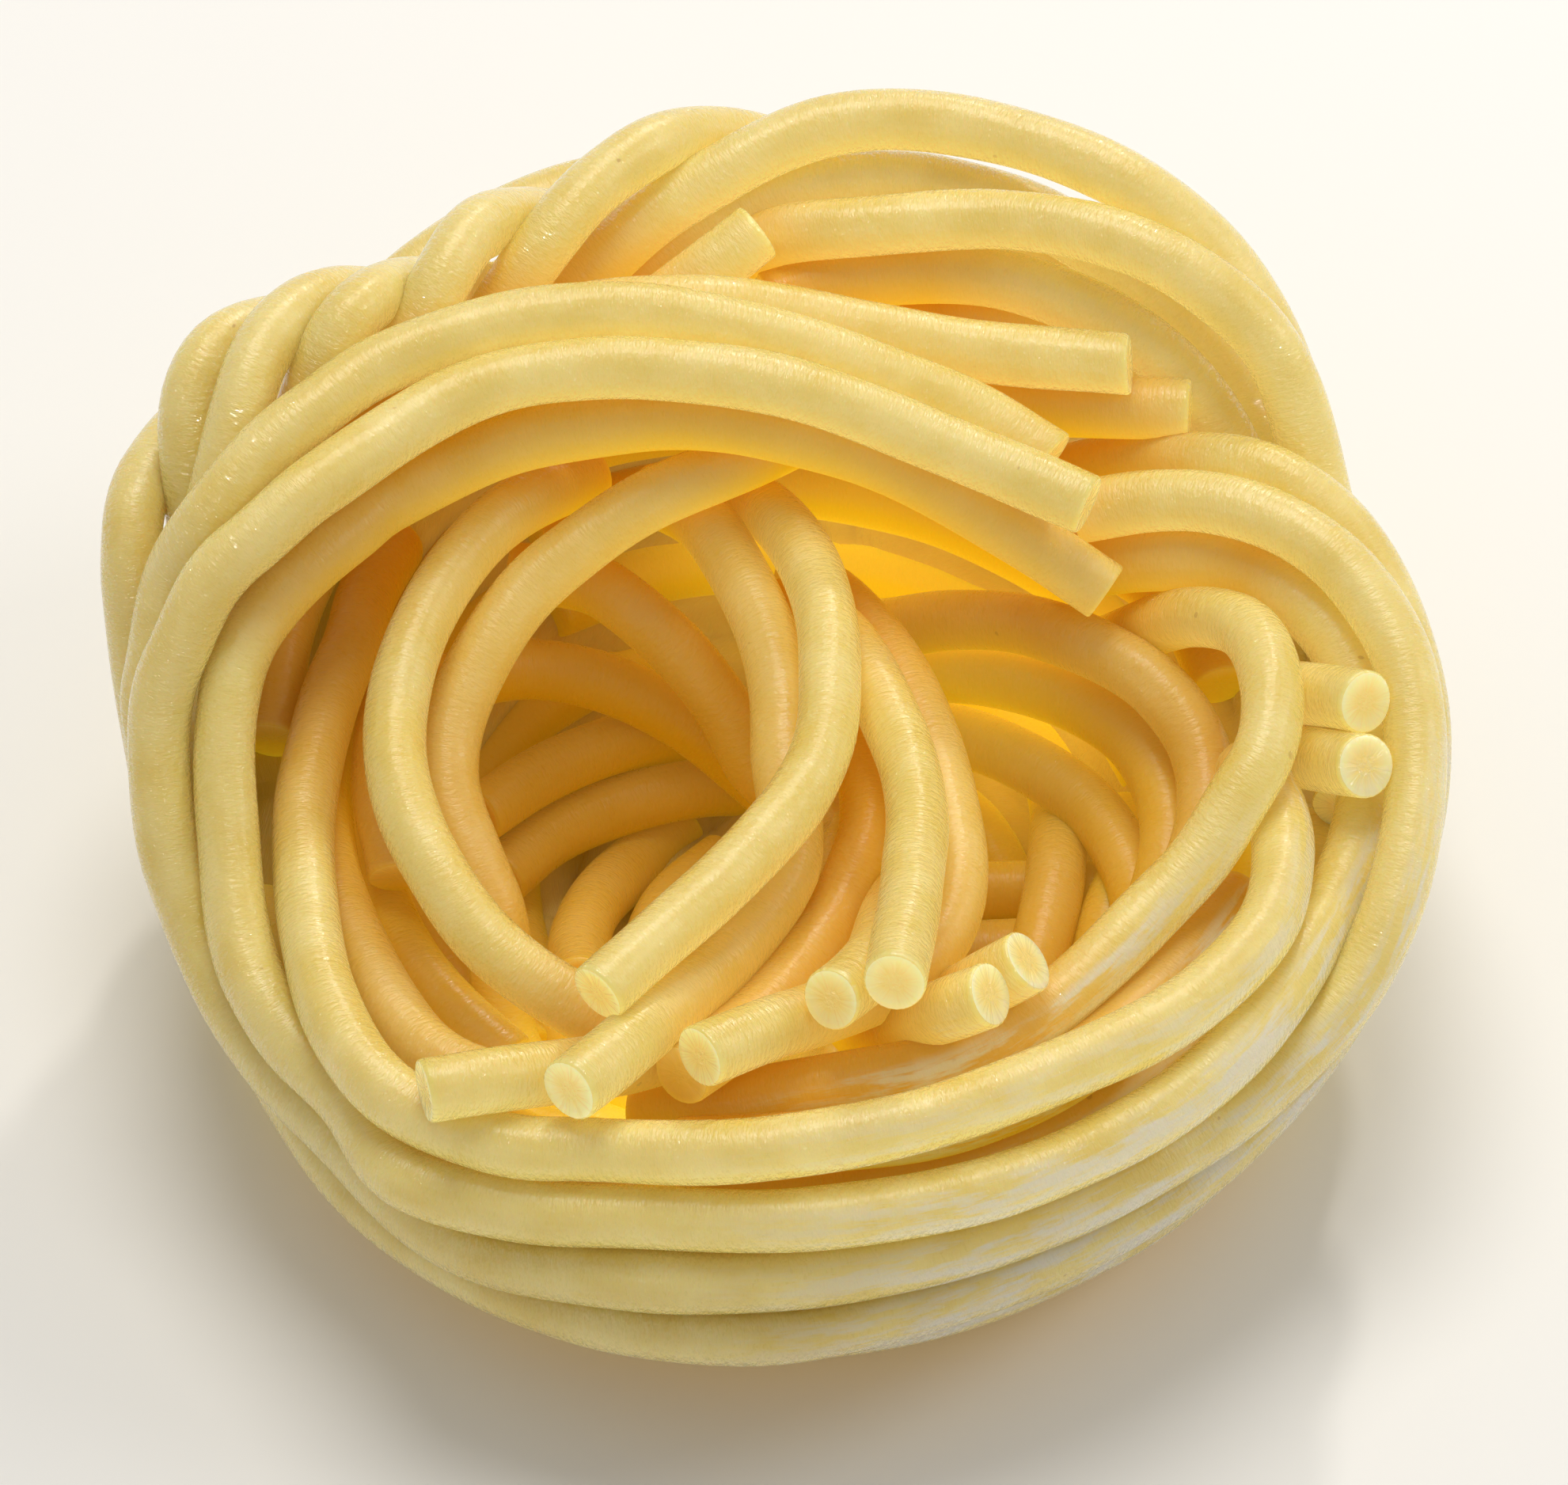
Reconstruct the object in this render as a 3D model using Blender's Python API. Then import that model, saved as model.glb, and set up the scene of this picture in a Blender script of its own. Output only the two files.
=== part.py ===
"""A nest of thick dry pasta strands, wound by hand from one soft bundle and dried.

The nest is one dried-together body. A plain core fills what can't be seen into, and the
strands that show are tubes laid round it, on it and across its two hollows.
Lengths here are in millimetres and angles in degrees, until build_mesh turns them to metres.
Angle 0 points to +X, 90 to the back, 180 to the left and 270 or -90 to the front.
"""

import math

import bmesh
import bpy
import numpy as np

MM = 0.001

# Driving dimensions.
STRAND = 2.4              # diameter of one strand
NEST_ACROSS = 50.0        # width of the whole nest
BASE_REACH = 12.0         # radius of the flat spot the nest rests on
FLOOR_TOP = 2.0           # top of the core under the hollows
RIM_FRONT = 8.5           # core height under the front rim
RIM_BACK = 15.0           # core height under the back rim
HOLLOW_REACH = 10.5       # where the hollow's floor turns up into its wall
RIM_REACH = 19.0          # where that wall meets the rim
RIDGE_TOP = 10.6          # top of the ridge between the two hollows
RIDGE_HALF_WIDTH = 2.3
RIDGE_X = 1.9             # the ridge runs from back to front here
WALL_SKIN = 1.0           # how far the wall's windings stand out of the core

SHOWN_SIDES = 6
HIDDEN_SIDES = 5
CORNER_SHARE = 1.06       # the tube's corners stand this far out, so its size is the round strand's
STATION_STEP = 1.2        # spacing of the points that settle against each other
SIGHT_RISE = 50.0         # the shown strands were laid out as seen from the front, this far up
WALL_LIMIT = 23.9         # no hidden strand is pushed further out than this
SHOWN_SAG = 0.55          # how far a tube's straight runs may leave its curve
HIDDEN_SAG = 0.8
RING_LEAST = 3.6          # nearest and farthest spacing of a tube's rings
RING_MOST = 10.0
TOUCHING = 2.45           # least distance between the middles of two strands side by side
SETTLE_ROUNDS = 50
WALL_FOOT = 1.3           # least height of a strand's middle above what the nest rests on
SLIVER = 0.004            # the union's shortest edges are closed up below this length

PASTA_COLOUR = (0.72, 0.47, 0.12, 1.0)

# Middles that the windings turn about, as (x, y).
NEST_MIDDLE = (0.0, 0.0)
RING_MIDDLE = (-6.0, -3.0)
BRIDGE_MIDDLE = (-6.0, -5.0)
FLOOR_RIGHT_MIDDLE = (9.0, -12.0)
FLOOR_LEFT_MIDDLE = (-1.0, -6.0)
FLOOR_FRONT_MIDDLE = (2.0, -4.0)

# Each strand is a middle and its stations: (angle, reach from the middle, height).
ARCHES = {
    "crown": (NEST_MIDDLE, [
        (128, 18.4, 16.5), (113, 18.8, 20), (100, 20.6, 21.6), (85, 22.4, 22.8), (70, 23.1, 23),
        (53, 23.3, 22.6), (40, 24, 19.2), (28, 23.2, 14.6), (12, 22, 9.5)]),
    "crown_under": (NEST_MIDDLE, [
        (111.3, 18.8, 17), (106.9, 19.1, 18.6), (100.7, 20, 19.6), (92.6, 20.9, 20.3),
        (85.1, 21.4, 20.6), (77.1, 22, 20.5), (68.9, 22.2, 20.3), (62.1, 22.4, 19.8),
        (53.9, 22.4, 18.9), (46.4, 22.7, 17.4), (40.1, 22.9, 15.4), (34.3, 23, 12.8), (29.5, 22.6, 10.2)]),
    "second": (NEST_MIDDLE, [
        (101, 17.5, 18.4), (92, 18.5, 19.7), (80, 18.8, 20.6), (66, 20.3, 21.2), (54, 21.2, 21.8),
        (44, 22.1, 21.3), (35, 22.9, 19.6), (26, 22.7, 16.2), (12, 22.2, 11.8)]),
    "second_under": (NEST_MIDDLE, [
        (93.1, 17.2, 18.6), (84.1, 17.9, 18.9), (70.6, 19.4, 18.6), (62, 20.3, 18.2), (53, 20.9, 17.7),
        (45, 21.3, 16.8), (38.5, 21.8, 14.9), (32.6, 22, 12.2)]),
    "second_inner": (NEST_MIDDLE, [
        (99.5, 16.8, 16.6), (89, 17.1, 17.2), (78.9, 17.6, 17.4), (66.8, 18.7, 17.2),
        (54.7, 20.3, 16.4), (45, 21.4, 14.8), (36.7, 22, 12.6)]),
    "back_short": (NEST_MIDDLE, [
        (93, 17.2, 22), (100, 16.1, 21.3), (107, 15.7, 20.3), (115, 16, 18.8), (124, 16.8, 16.6)]),
    "back_long": (NEST_MIDDLE, [
        (44, 18.4, 19.2), (60, 15.4, 19.4), (76, 14, 20.2), (90, 13.8, 21), (106, 14.2, 21.7),
        (124, 15.6, 21.8), (140, 17, 21), (156, 19.2, 19.2), (172, 21.2, 16.4), (190, 22.6, 12.8)]),
    "shelf": (NEST_MIDDLE, [
        (38, 20, 16.6), (46, 18, 16.2), (55, 16.2, 16.4), (68, 15, 17), (84, 14.8, 17.4),
        (100, 15.2, 17.4), (116, 16, 16.4)]),
    "front_upper": (NEST_MIDDLE, [
        (38, 12.8, 19.2), (52, 12, 19.9), (68, 11.3, 20.8), (84, 11.3, 21.6), (100, 12, 22.3),
        (116, 13.3, 22.9), (132, 15.2, 23), (148, 17.5, 23), (158, 18.9, 22.8), (164.2, 20.1, 22.3),
        (171.4, 21.7, 20.9), (173.4, 22.8, 18.8), (175.7, 23.2, 17.5), (179, 23.5, 15.8),
        (180.9, 23.7, 14.7), (184.1, 23.5, 13), (190.2, 23.4, 10.9), (194.6, 23.1, 9.6),
        (199.6, 22.9, 8.8), (205.3, 22.7, 8), (211.4, 22.4, 7.4), (226, 23.1, 6.9), (240, 23.7, 6.8),
        (255, 24.2, 7.3), (270, 24.2, 7.7), (288, 23.3, 7.9), (308, 22.9, 8), (326, 23.1, 9),
        (342, 23.7, 11.3), (356, 23.9, 13.6), (368, 23.4, 15.1), (378, 22.5, 16.2), (386, 21, 17),
        (393, 19.6, 16.5), (402, 18.2, 15), (411, 17, 13)]),
    "front_top": (NEST_MIDDLE, [
        (27, 12.9, 19), (38, 11.3, 19.4), (54, 9.9, 20.1), (72, 9.3, 20.9), (90, 9.4, 21.7),
        (108, 10.4, 22), (126, 12.3, 22.2), (144, 14.8, 22.2), (166.4, 17.8, 22), (172.4, 19.4, 21.3),
        (176.9, 21.1, 20.3), (181.4, 22.3, 18.5), (184.3, 23.1, 16.9), (188.3, 23.4, 15),
        (194.2, 23.5, 12.9), (198.8, 23.4, 11.7), (203.4, 23.3, 10.8), (208.8, 23.2, 9.9),
        (215.1, 23.1, 9.5), (223.7, 23, 9.1), (240, 24.1, 8.9), (256, 23.9, 9.7), (272, 23.6, 10.3),
        (288, 23.1, 10.4), (302, 22.9, 10.4), (317, 23, 10.5), (333, 23.4, 11.9), (346, 23.7, 14.3),
        (359, 23.2, 16.3), (369, 21.8, 17.3), (377, 20, 17.6), (384, 18, 17.3), (390, 16, 16.6),
        (396, 13.8, 15.7)]),
    "front_lower": (NEST_MIDDLE, [
        (24, 13.5, 14.5), (36, 11.6, 16), (51, 10, 17.6), (69, 9.1, 18.9), (88, 8.9, 19.6),
        (106, 9.7, 19.9), (122, 10.9, 19.9), (140, 13.4, 19.4), (156, 16.1, 18.6), (161.4, 17, 18.3),
        (168.2, 18.3, 18), (173.4, 19.4, 17.5), (178.4, 20.3, 17), (183.3, 20.8, 16.3),
        (189.3, 21.2, 15.1), (197.3, 21.6, 13.7), (203.9, 22.2, 12.7), (209.3, 22.6, 12),
        (214, 22.7, 11.5), (217.8, 22.7, 11.2), (225.5, 22.7, 11), (235, 24, 11), (246, 23.4, 11.3),
        (258, 22.6, 11.8), (272, 22.5, 12.2), (288, 22.4, 12.2), (303, 22.4, 12.2), (317, 22.4, 12.2),
        (331, 22.4, 12.3), (345, 22.5, 13.1), (359, 22, 14.4), (369, 20.4, 15.5), (378, 17.8, 15.7),
        (386, 14.6, 15), (392, 12.8, 14)]),
    "twist_1": (NEST_MIDDLE, [
        (166.3, 22.9, 13.2), (165.7, 23.2, 15.4), (164.6, 23.3, 17.6), (162.8, 23.6, 19.4),
        (159, 24, 21.4), (154, 23.8, 22.6), (148, 23.2, 22), (140, 22.8, 19.6), (130, 22.4, 16.2)]),
    "twist_2": (NEST_MIDDLE, [
        (170, 22.2, 16.5), (159, 22, 20.8), (152, 22.2, 22.2), (145, 22, 22.5), (138, 21.7, 21.2),
        (130, 21.6, 18.4), (120, 21.6, 15)]),
    "twist_3": (NEST_MIDDLE, [
        (160, 20.4, 18.2), (151, 20.4, 21.2), (145, 20.3, 22.5), (138, 20.3, 22), (130, 20.6, 20),
        (121, 21, 17.2)]),
    "twist_4": (NEST_MIDDLE, [
        (150, 18.6, 18), (140, 18.9, 21.6), (132, 19.5, 22.9), (125, 20.2, 23), (117, 20.8, 21.4),
        (108, 21.4, 18.4), (98, 22, 15)]),
    "twist_5": (NEST_MIDDLE, [
        (137, 17.8, 17.6), (127, 18.1, 20.8), (119, 18.8, 22.4), (110, 20.2, 22.8), (100, 21.9, 22.3),
        (91, 23.2, 20.4), (80, 23.4, 17.6)]),
    "left_outer": (NEST_MIDDLE, [
        (152.8, 24.8, 18.2), (159.3, 24.7, 19), (165, 24.9, 18.6), (169.7, 24.8, 17),
        (172.1, 24.6, 15.3), (175.3, 24.3, 13.1), (179.7, 23.8, 10.8), (185.8, 23.4, 8.7),
        (190.9, 22.9, 7.2), (199.4, 22.3, 6), (207.5, 21.7, 5.3), (225, 22.2, 4.8), (242, 22.3, 4.7),
        (262, 22.4, 5.1), (285, 22, 5.2), (310, 21.7, 5.4), (335, 21.9, 5.9), (352, 22.2, 6.4)]),
    "curl": (NEST_MIDDLE, [
        (27.4, 14, 10.2), (22.3, 14.7, 12), (17.9, 15.4, 13.6), (13.6, 16.3, 14.9), (8.9, 17.4, 15.7),
        (3.6, 18, 16.1), (-1.6, 18.3, 16.1), (-6.1, 18.4, 15.9), (-11.4, 18.3, 15.4),
        (-17.8, 17.7, 14.8), (-25.7, 17.2, 14.2), (-34.7, 16.6, 13.9), (-46.5, 16.4, 13.7),
        (-56.7, 16.3, 13.5), (-68, 16.1, 13.1), (-78.7, 16.1, 12.8), (-89.1, 16.5, 12.6),
        (-98.8, 17.1, 12.1), (-108.2, 17.6, 11.4)]),
    "front_rim": (NEST_MIDDLE, [
        (-4, 17.6, 12.2), (-11, 18.4, 14), (-21, 19.8, 14.5), (-32, 20.7, 14.4), (-46, 20.7, 14.6),
        (-62, 20.4, 14.9), (-78, 20.7, 14.9), (-94, 21.1, 14.4), (-110, 21.4, 13.2),
        (-116.7, 22.2, 13.1), (-124.9, 22.5, 12.9), (-130.5, 22.5, 12.9), (-136.2, 22, 12.9),
        (-142.5, 21.2, 12.9), (-148.7, 20.3, 12.9), (-155.2, 19.5, 12.9), (-162.2, 18.8, 12.9),
        (-169.2, 18.2, 13), (-176.7, 17.6, 13.1), (-185, 17.2, 13.1), (-193.9, 17, 13),
        (-203.7, 17.5, 12.6), (-213.9, 18.2, 11.8)]),
    "left_inner": (NEST_MIDDLE, [
        (-193.2, 17.5, 10), (-183.6, 17.4, 10.6), (-174.6, 17.6, 10.9), (-166.3, 17.8, 11),
        (-158.1, 18.1, 11.1), (-149.5, 18.4, 11.4), (-141, 19, 11.7), (-133.7, 19.5, 11.8),
        (-127.8, 19.6, 11.9), (-120.9, 19.1, 11.8)]),
    "end_right_1": (NEST_MIDDLE, [
        (5, 17.8, 13.2), (1.5, 19.2, 14.4), (-2, 20.6, 15.6), (-5, 21.8, 16.6)]),
    "end_right_2": (NEST_MIDDLE, [
        (-3.5, 17.9, 12.2), (-6.5, 19.2, 13.4), (-9.5, 20.6, 14.6), (-12, 21.9, 15.8)]),
    "end_front_1": (NEST_MIDDLE, [
        (-62.9, 16.8, 15.7), (-66.4, 16.1, 14.7), (-70, 15.1, 13.3), (-74.3, 13.9, 11.6),
        (-79.3, 12.6, 9.8)]),
    "end_front_2": (NEST_MIDDLE, [
        (-58.4, 16.5, 15.9), (-61.8, 15.8, 14.7), (-65, 14.7, 13.1), (-68.6, 13.2, 11.1),
        (-73.2, 11.7, 9.2)]),
    "end_left": (NEST_MIDDLE, [
        (-123.7, 23, 15.3), (-119.3, 21.4, 15.3), (-114.6, 19.8, 15), (-109.4, 18.1, 14.4),
        (-104.5, 16.1, 13.4), (-99.2, 13.7, 12.2)]),
}

CURLS = {
    "ring_left": (RING_MIDDLE, [
        (96, 14, 15.2), (111, 11.8, 16.4), (126, 10.4, 16.6), (144, 9.3, 16.4), (163, 8.7, 16),
        (182, 8.5, 15.6), (200, 8.5, 15.2), (218, 8.7, 14.7), (236, 9.3, 14), (252, 10, 13.4),
        (268, 11, 12.8), (279, 11.7, 11.2), (290, 12.4, 9), (300, 13.2, 6.6)]),
    "ring_deep": (RING_MIDDLE, [
        (62, 16, 18), (70, 13, 17.8), (86, 10.7, 17.1), (102, 9.2, 16.3), (118, 8.3, 15.5),
        (138, 7.4, 14.5), (158, 7, 13.4), (178, 6.6, 12.5), (200, 6.1, 11.6), (222, 6.4, 10.3),
        (240, 8.8, 7.6), (256, 10.6, 6.4)]),
    "ring_right": (RING_MIDDLE, [
        (78, 14.6, 13.6), (67, 12.9, 15.3), (52, 10.8, 16.4), (34, 9.1, 16.9), (13, 7.9, 17.1), (-8, 7.6, 17),
        (-28, 7.5, 16.8), (-47, 7.7, 16.6), (-66, 8.6, 16.3), (-80, 10, 16), (-92, 12.6, 15.8)]),
    "ring_second": (RING_MIDDLE, [
        (86, 14.2, 13.8), (76, 12.3, 14.8), (65, 10.1, 15.1), (47, 7.9, 15.2), (25, 6.5, 15), (1, 6, 14.5),
        (-18, 6.6, 14), (-37, 7.8, 13.6), (-58, 9.1, 13.4), (-75, 11, 13.8), (-88, 13.6, 14.6),
        (-96, 16.2, 15.2)]),
    "ring_third": (RING_MIDDLE, [
        (28, 9.4, 10.6), (14, 9.2, 12), (0, 9.5, 12.7), (-16, 10, 12.8), (-33, 10.2, 12.8), (-51, 10.7, 12.9),
        (-67, 11.8, 13.1), (-82, 13.6, 13.6)]),
    "bridge_left": (BRIDGE_MIDDLE, [
        (66.1, 15.9, 10.4), (58.1, 14.5, 12), (48.5, 13.4, 13), (39.4, 12.7, 13.4), (28.5, 12.2, 13.5),
        (16.4, 11.9, 13.4), (3.6, 11.8, 13.3), (-7, 12, 13.2), (-15.9, 12.2, 13.2), (-24.8, 12.4, 13.2),
        (-33.2, 12.5, 13.3), (-40.5, 12.3, 13.4), (-48.2, 11.9, 13.7), (-56.1, 11.7, 14),
        (-62.7, 11.7, 14.3), (-77.2, 12.6, 15)]),
    "bridge_right": (BRIDGE_MIDDLE, [
        (62.8, 13.8, 11.6), (54.3, 12.6, 13.2), (44.6, 11.7, 14.4), (33.7, 11, 15), (20.9, 10.6, 15.2),
        (5.4, 10.7, 15.3), (-8.7, 11, 15.3), (-20.9, 11.4, 15.5), (-30.7, 12.1, 15.8),
        (-39.8, 13.1, 16.3), (-47.6, 14.5, 17)]),
    "bridge_end": (BRIDGE_MIDDLE, [
        (7.2, 10.9, 11.6), (-5.9, 10.8, 12.3), (-18.6, 11.2, 13), (-29.3, 11.8, 13.8),
        (-39.3, 12.6, 14.7), (-47, 13, 15.4), (-54.2, 13.5, 16.2)]),
    "slope_1": (NEST_MIDDLE, [
        (82, 9.8, 7.8), (66, 9, 9), (50, 10, 10.2), (35, 11.6, 11.2), (20, 13.3, 12), (9, 14.8, 12.2),
        (-2, 16, 11.8), (-14, 16.3, 11), (-28, 16, 9.8)]),
    "slope_2": (NEST_MIDDLE, [
        (74, 8.6, 6.6), (56, 8.9, 7.6), (38, 10.1, 8.6), (22, 12, 9.2), (8, 13.8, 9.4), (-6, 14.8, 9),
        (-20, 15, 8.2), (-34, 15.4, 6.2)]),
    "slope_3": (NEST_MIDDLE, [
        (60, 7.8, 5), (40, 8.8, 5.8), (20, 10.3, 6.4), (4, 12.1, 6.7), (-12, 13.8, 6.8),
        (-27, 15.4, 6.8)]),
    "inner_wall_1": (RING_MIDDLE, [
        (112, 12.4, 12.2), (98, 11, 12.2), (88, 9.8, 11.6), (76, 8.9, 10.4), (63, 8.2, 8.8),
        (49, 7.7, 6.8), (38, 8.7, 5.4), (28, 9.7, 4.4)]),
    "inner_wall_2": (RING_MIDDLE, [
        (134, 10.6, 9.8), (115, 10.2, 9), (96, 9.6, 7.8), (78, 9.2, 6.2), (60, 9, 4.6), (44, 9, 3.6)]),
    "floor_right_1": (FLOOR_RIGHT_MIDDLE, [
        (134, 13.6, 3.2), (118, 12.6, 3.2), (102, 11.8, 3.4), (86, 11.6, 3.6), (68, 11.8, 4.2),
        (52, 12.4, 5)]),
    "floor_right_2": (FLOOR_RIGHT_MIDDLE, [
        (142, 10.8, 2.8), (124, 10, 2.8), (104, 9.3, 2.9), (84, 9.2, 3.1), (62, 9.6, 3.8),
        (42, 10.4, 4.6)]),
    "floor_left_1": (FLOOR_LEFT_MIDDLE, [(152, 11.4, 4.4), (136, 11.3, 4), (118, 11.1, 3.6), (100, 11, 3.4), (84, 11, 3.2)]),
    "floor_left_2": (FLOOR_LEFT_MIDDLE, [(146, 13, 6), (130, 12.9, 5.4), (114, 12.8, 5), (98, 12.8, 4.8)]),
    "floor_front_1": (FLOOR_FRONT_MIDDLE, [(128, 9.9, 2.4), (146, 9.8, 2.8), (164, 9.8, 3.8), (182, 9.9, 5), (200, 10.3, 6.6)]),
    "floor_front_2": (FLOOR_FRONT_MIDDLE, [(124, 7.6, 2.2), (146, 7.4, 2.4), (168, 7.2, 3), (190, 7.2, 4.2)]),
}

# The outer wall's windings. The lowest runs all round, and the rest close the higher back.
FOOT_WINDINGS = 2
FOOT_PITCH = 1.9
BACK_PITCH = 2.95
BACK_STARTS = [32, -20, 40, 8, 32, -8]   # degrees, for each of those windings from the lowest
BACK_ENDS = [172, 196, 164, 188, 176, 192]
BACK_RISE = (5, 80)       # between these angles they climb from half their height, and back down between these
BACK_FALL = (200, 100)
BACK_TUCK = 2.6           # how far the ends of those windings turn in
WALL_STEP = 15            # degrees from one station to the next
WALL_TOP = 14.0
LEAN = 3.9                # how far the wall's foot draws in


# Turns about the bowl, under the strands that show: reach, height, and the degrees they start and stop at.
BOWL_TURNS = [
    (19.0, 13.2, 92, 180), (19.6, 10.6, 196, 356), (17.4, 11.0, 96, 206), (18.4, 8.6, 170, 368),
    (16.0, 8.8, 88, 236), (16.2, 7.2, 196, 392), (18.6, 12.2, 258, 342),
]
BOWL_DIVE = 1.6           # how far their ends dip out of sight


def ease(angle, low, high):
    """A smooth climb from 0 at the first angle to 1 at the second."""
    climb = min(1.0, max(0.0, (angle - low) / (high - low)))
    return climb * climb * (3 - 2 * climb)


def wall_reach(angle, height):
    """Plan of the outer wall: a rounded egg, wider to the left, whose foot draws in."""
    turn = math.radians(angle)
    plan = NEST_ACROSS / 2 - 1.75 + 0.5 * math.cos(2 * turn) - 0.25 * math.cos(turn)
    return plan - LEAN * max(0.0, 1 - height / WALL_TOP) ** 1.3


def wall_windings():
    """The strands that run round the outside and don't show from the front."""
    found = {}
    for k in range(FOOT_WINDINGS):
        height = WALL_FOOT + FOOT_PITCH * k
        start = 40 + 170 * k
        found[f"foot_{k + 1}"] = (NEST_MIDDLE, [
            (angle, wall_reach(angle, height), height) for angle in range(start, start + 346, WALL_STEP)])
    for k, (start, stop) in enumerate(zip(BACK_STARTS, BACK_ENDS)):
        stations = []
        for angle in range(start, stop + 1, (stop - start) // 12):
            share = min(ease(angle, *BACK_RISE), ease(angle, *BACK_FALL))
            sway = 0.4 * math.sin(math.radians(2 * angle + 110 * k))
            height = WALL_FOOT + BACK_PITCH * (k + 1) * (0.5 + 0.5 * share) + sway
            end = max(0.0, 1 - min(angle - start, stop - angle) / 24)
            stations.append((angle, wall_reach(angle, height) - BACK_TUCK * end * end, height))
        found[f"back_{k + 1}"] = (NEST_MIDDLE, stations)
    return found


def inner_windings():
    """Strands that line the hollows' walls: arcs behind the right hollow, and turns about the bowl."""
    found = {}
    for k, (height, reach) in enumerate([(6.0, 14.2), (9.2, 15.2), (12.4, 16.0)]):
        found[f"lining_{k + 1}"] = (NEST_MIDDLE, [
            (angle, reach + 0.3 * math.sin(math.radians(3 * angle)), height + 0.02 * (angle - 60))
            for angle in range(12, 132, 17)])
    for k, (reach, height, start, stop) in enumerate(BOWL_TURNS):
        stations = []
        for angle in range(start, stop + 1, (stop - start) // 8):
            end = max(0.0, 1 - min(angle - start, stop - angle) / 24)
            stations.append((
                angle, reach + 0.4 * math.sin(math.radians(3 * angle + 70 * k)),
                height + 0.4 * math.sin(math.radians(2 * angle + 50 * k)) - BOWL_DIVE * end * end))
        found[f"bowl_{k + 1}"] = (NEST_MIDDLE, stations)
    return found


def bottom_windings():
    """The turns of the bundle that show underneath, about the flat spot."""
    found = {}
    for k, reach in enumerate([16.9, 14.2]):
        found[f"bottom_{k + 1}"] = (NEST_MIDDLE, [
            (angle, reach + 0.5 * math.sin(math.radians(angle + 70 * k)), WALL_FOOT)
            for angle in range(60 * k, 60 * k + 330, 18)])
    return found


def through(stations, middle):
    """A smooth curve through a strand's stations, read at even steps along its length."""
    turn = np.radians([s[0] for s in stations])
    reach = np.array([s[1] for s in stations])
    points = np.column_stack([
        middle[0] + reach * np.cos(turn), middle[1] + reach * np.sin(turn), [s[2] for s in stations]])
    ends = np.vstack([2 * points[0] - points[1], points, 2 * points[-1] - points[-2]])
    t = np.linspace(0, 1, 24, endpoint=False)[:, None]
    spans = []
    for a, b, c, d in zip(ends, ends[1:], ends[2:], ends[3:]):
        spans.append(0.5 * (2 * b + (c - a) * t + (2 * a - 5 * b + 4 * c - d) * t**2
                            + (3 * b - a - 3 * c + d) * t**3))
    curve = np.vstack(spans + [points[-1:]])
    along = np.concatenate([[0], np.cumsum(np.linalg.norm(np.diff(curve, axis=0), axis=1))])
    even = np.linspace(0, along[-1], max(4, round(along[-1] / STATION_STEP)) + 1)
    return np.column_stack([np.interp(even, along, curve[:, axis]) for axis in range(3)])


def settled(strands, shown):
    """Moves strands that run into each other apart, as stiff rods that give way along their length.

    Two strands that show part along the line of sight, so each still looks where it was laid.
    Beside one that is hidden, only the hidden one moves, straight away from the other.
    """
    points = np.vstack(strands)
    owner = np.repeat(np.arange(len(strands)), [len(s) for s in strands])
    place = np.concatenate([np.arange(len(s)) for s in strands])
    apart = (owner[:, None] != owner[None]) | (np.abs(place[:, None] - place[None]) > 5)
    seen = np.array(shown)[owner]
    starts = np.cumsum([0] + [len(s) for s in strands])
    sight = np.array([0, -math.cos(math.radians(SIGHT_RISE)), math.sin(math.radians(SIGHT_RISE))])
    moved = np.zeros_like(points)
    for _ in range(SETTLE_ROUNDS):
        now = points + moved
        first, second = np.nonzero(near_pairs(now, apart))
        gap = now[first] - now[second]
        length = np.maximum(np.linalg.norm(gap, axis=1), 0.01)
        away = gap * ((TOUCHING - length) / length)[:, None]
        depth = gap @ sight
        beside = np.sqrt(np.maximum(length**2 - depth**2, 0))
        needed = np.sqrt(np.maximum(TOUCHING**2 - beside**2, 0)) - np.abs(depth)
        along = sight * (np.where(depth < 0, -1, 1) * needed)[:, None]
        both = seen[first] & seen[second]
        step = np.where(both[:, None], along * 0.2 + away * 0.08, away * 0.3)
        step[seen[first] & ~seen[second]] = 0
        total = np.zeros_like(points)
        np.add.at(total, first, step)
        count = np.maximum(np.bincount(first, minlength=len(points)), 1) ** 0.5
        moved += total / count[:, None]
        for a, b in zip(starts[:-1], starts[1:]):
            line = moved[a:b]
            padded = np.vstack([line[:1], line, line[-1:]])
            moved[a:b] = 0.25 * padded[:-2] + 0.5 * line + 0.25 * padded[2:]
        now = points + moved
        moved[:, 2] += np.maximum(WALL_FOOT - now[:, 2], 0)
        reach = np.hypot(now[:, 0], now[:, 1])
        over = np.where(seen, 0, np.maximum(reach - WALL_LIMIT, 0)) / reach
        moved[:, :2] -= now[:, :2] * over[:, None]
    now = points + moved
    return [now[a:b] for a, b in zip(starts[:-1], starts[1:])]


def near_pairs(points, apart):
    """Which two points of different stretches lie closer than strands that touch."""
    square = (points**2).sum(axis=1)
    distance = square[:, None] + square[None] - 2 * points @ points.T
    return (distance < TOUCHING**2) & apart


def build_mesh(name, points, faces):
    mesh = bpy.data.meshes.new(name)
    mesh.from_pydata((np.asarray(points) * MM).tolist(), [], faces)
    made = bpy.data.objects.new(name, mesh)
    bpy.context.scene.collection.objects.link(made)
    return made


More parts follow.
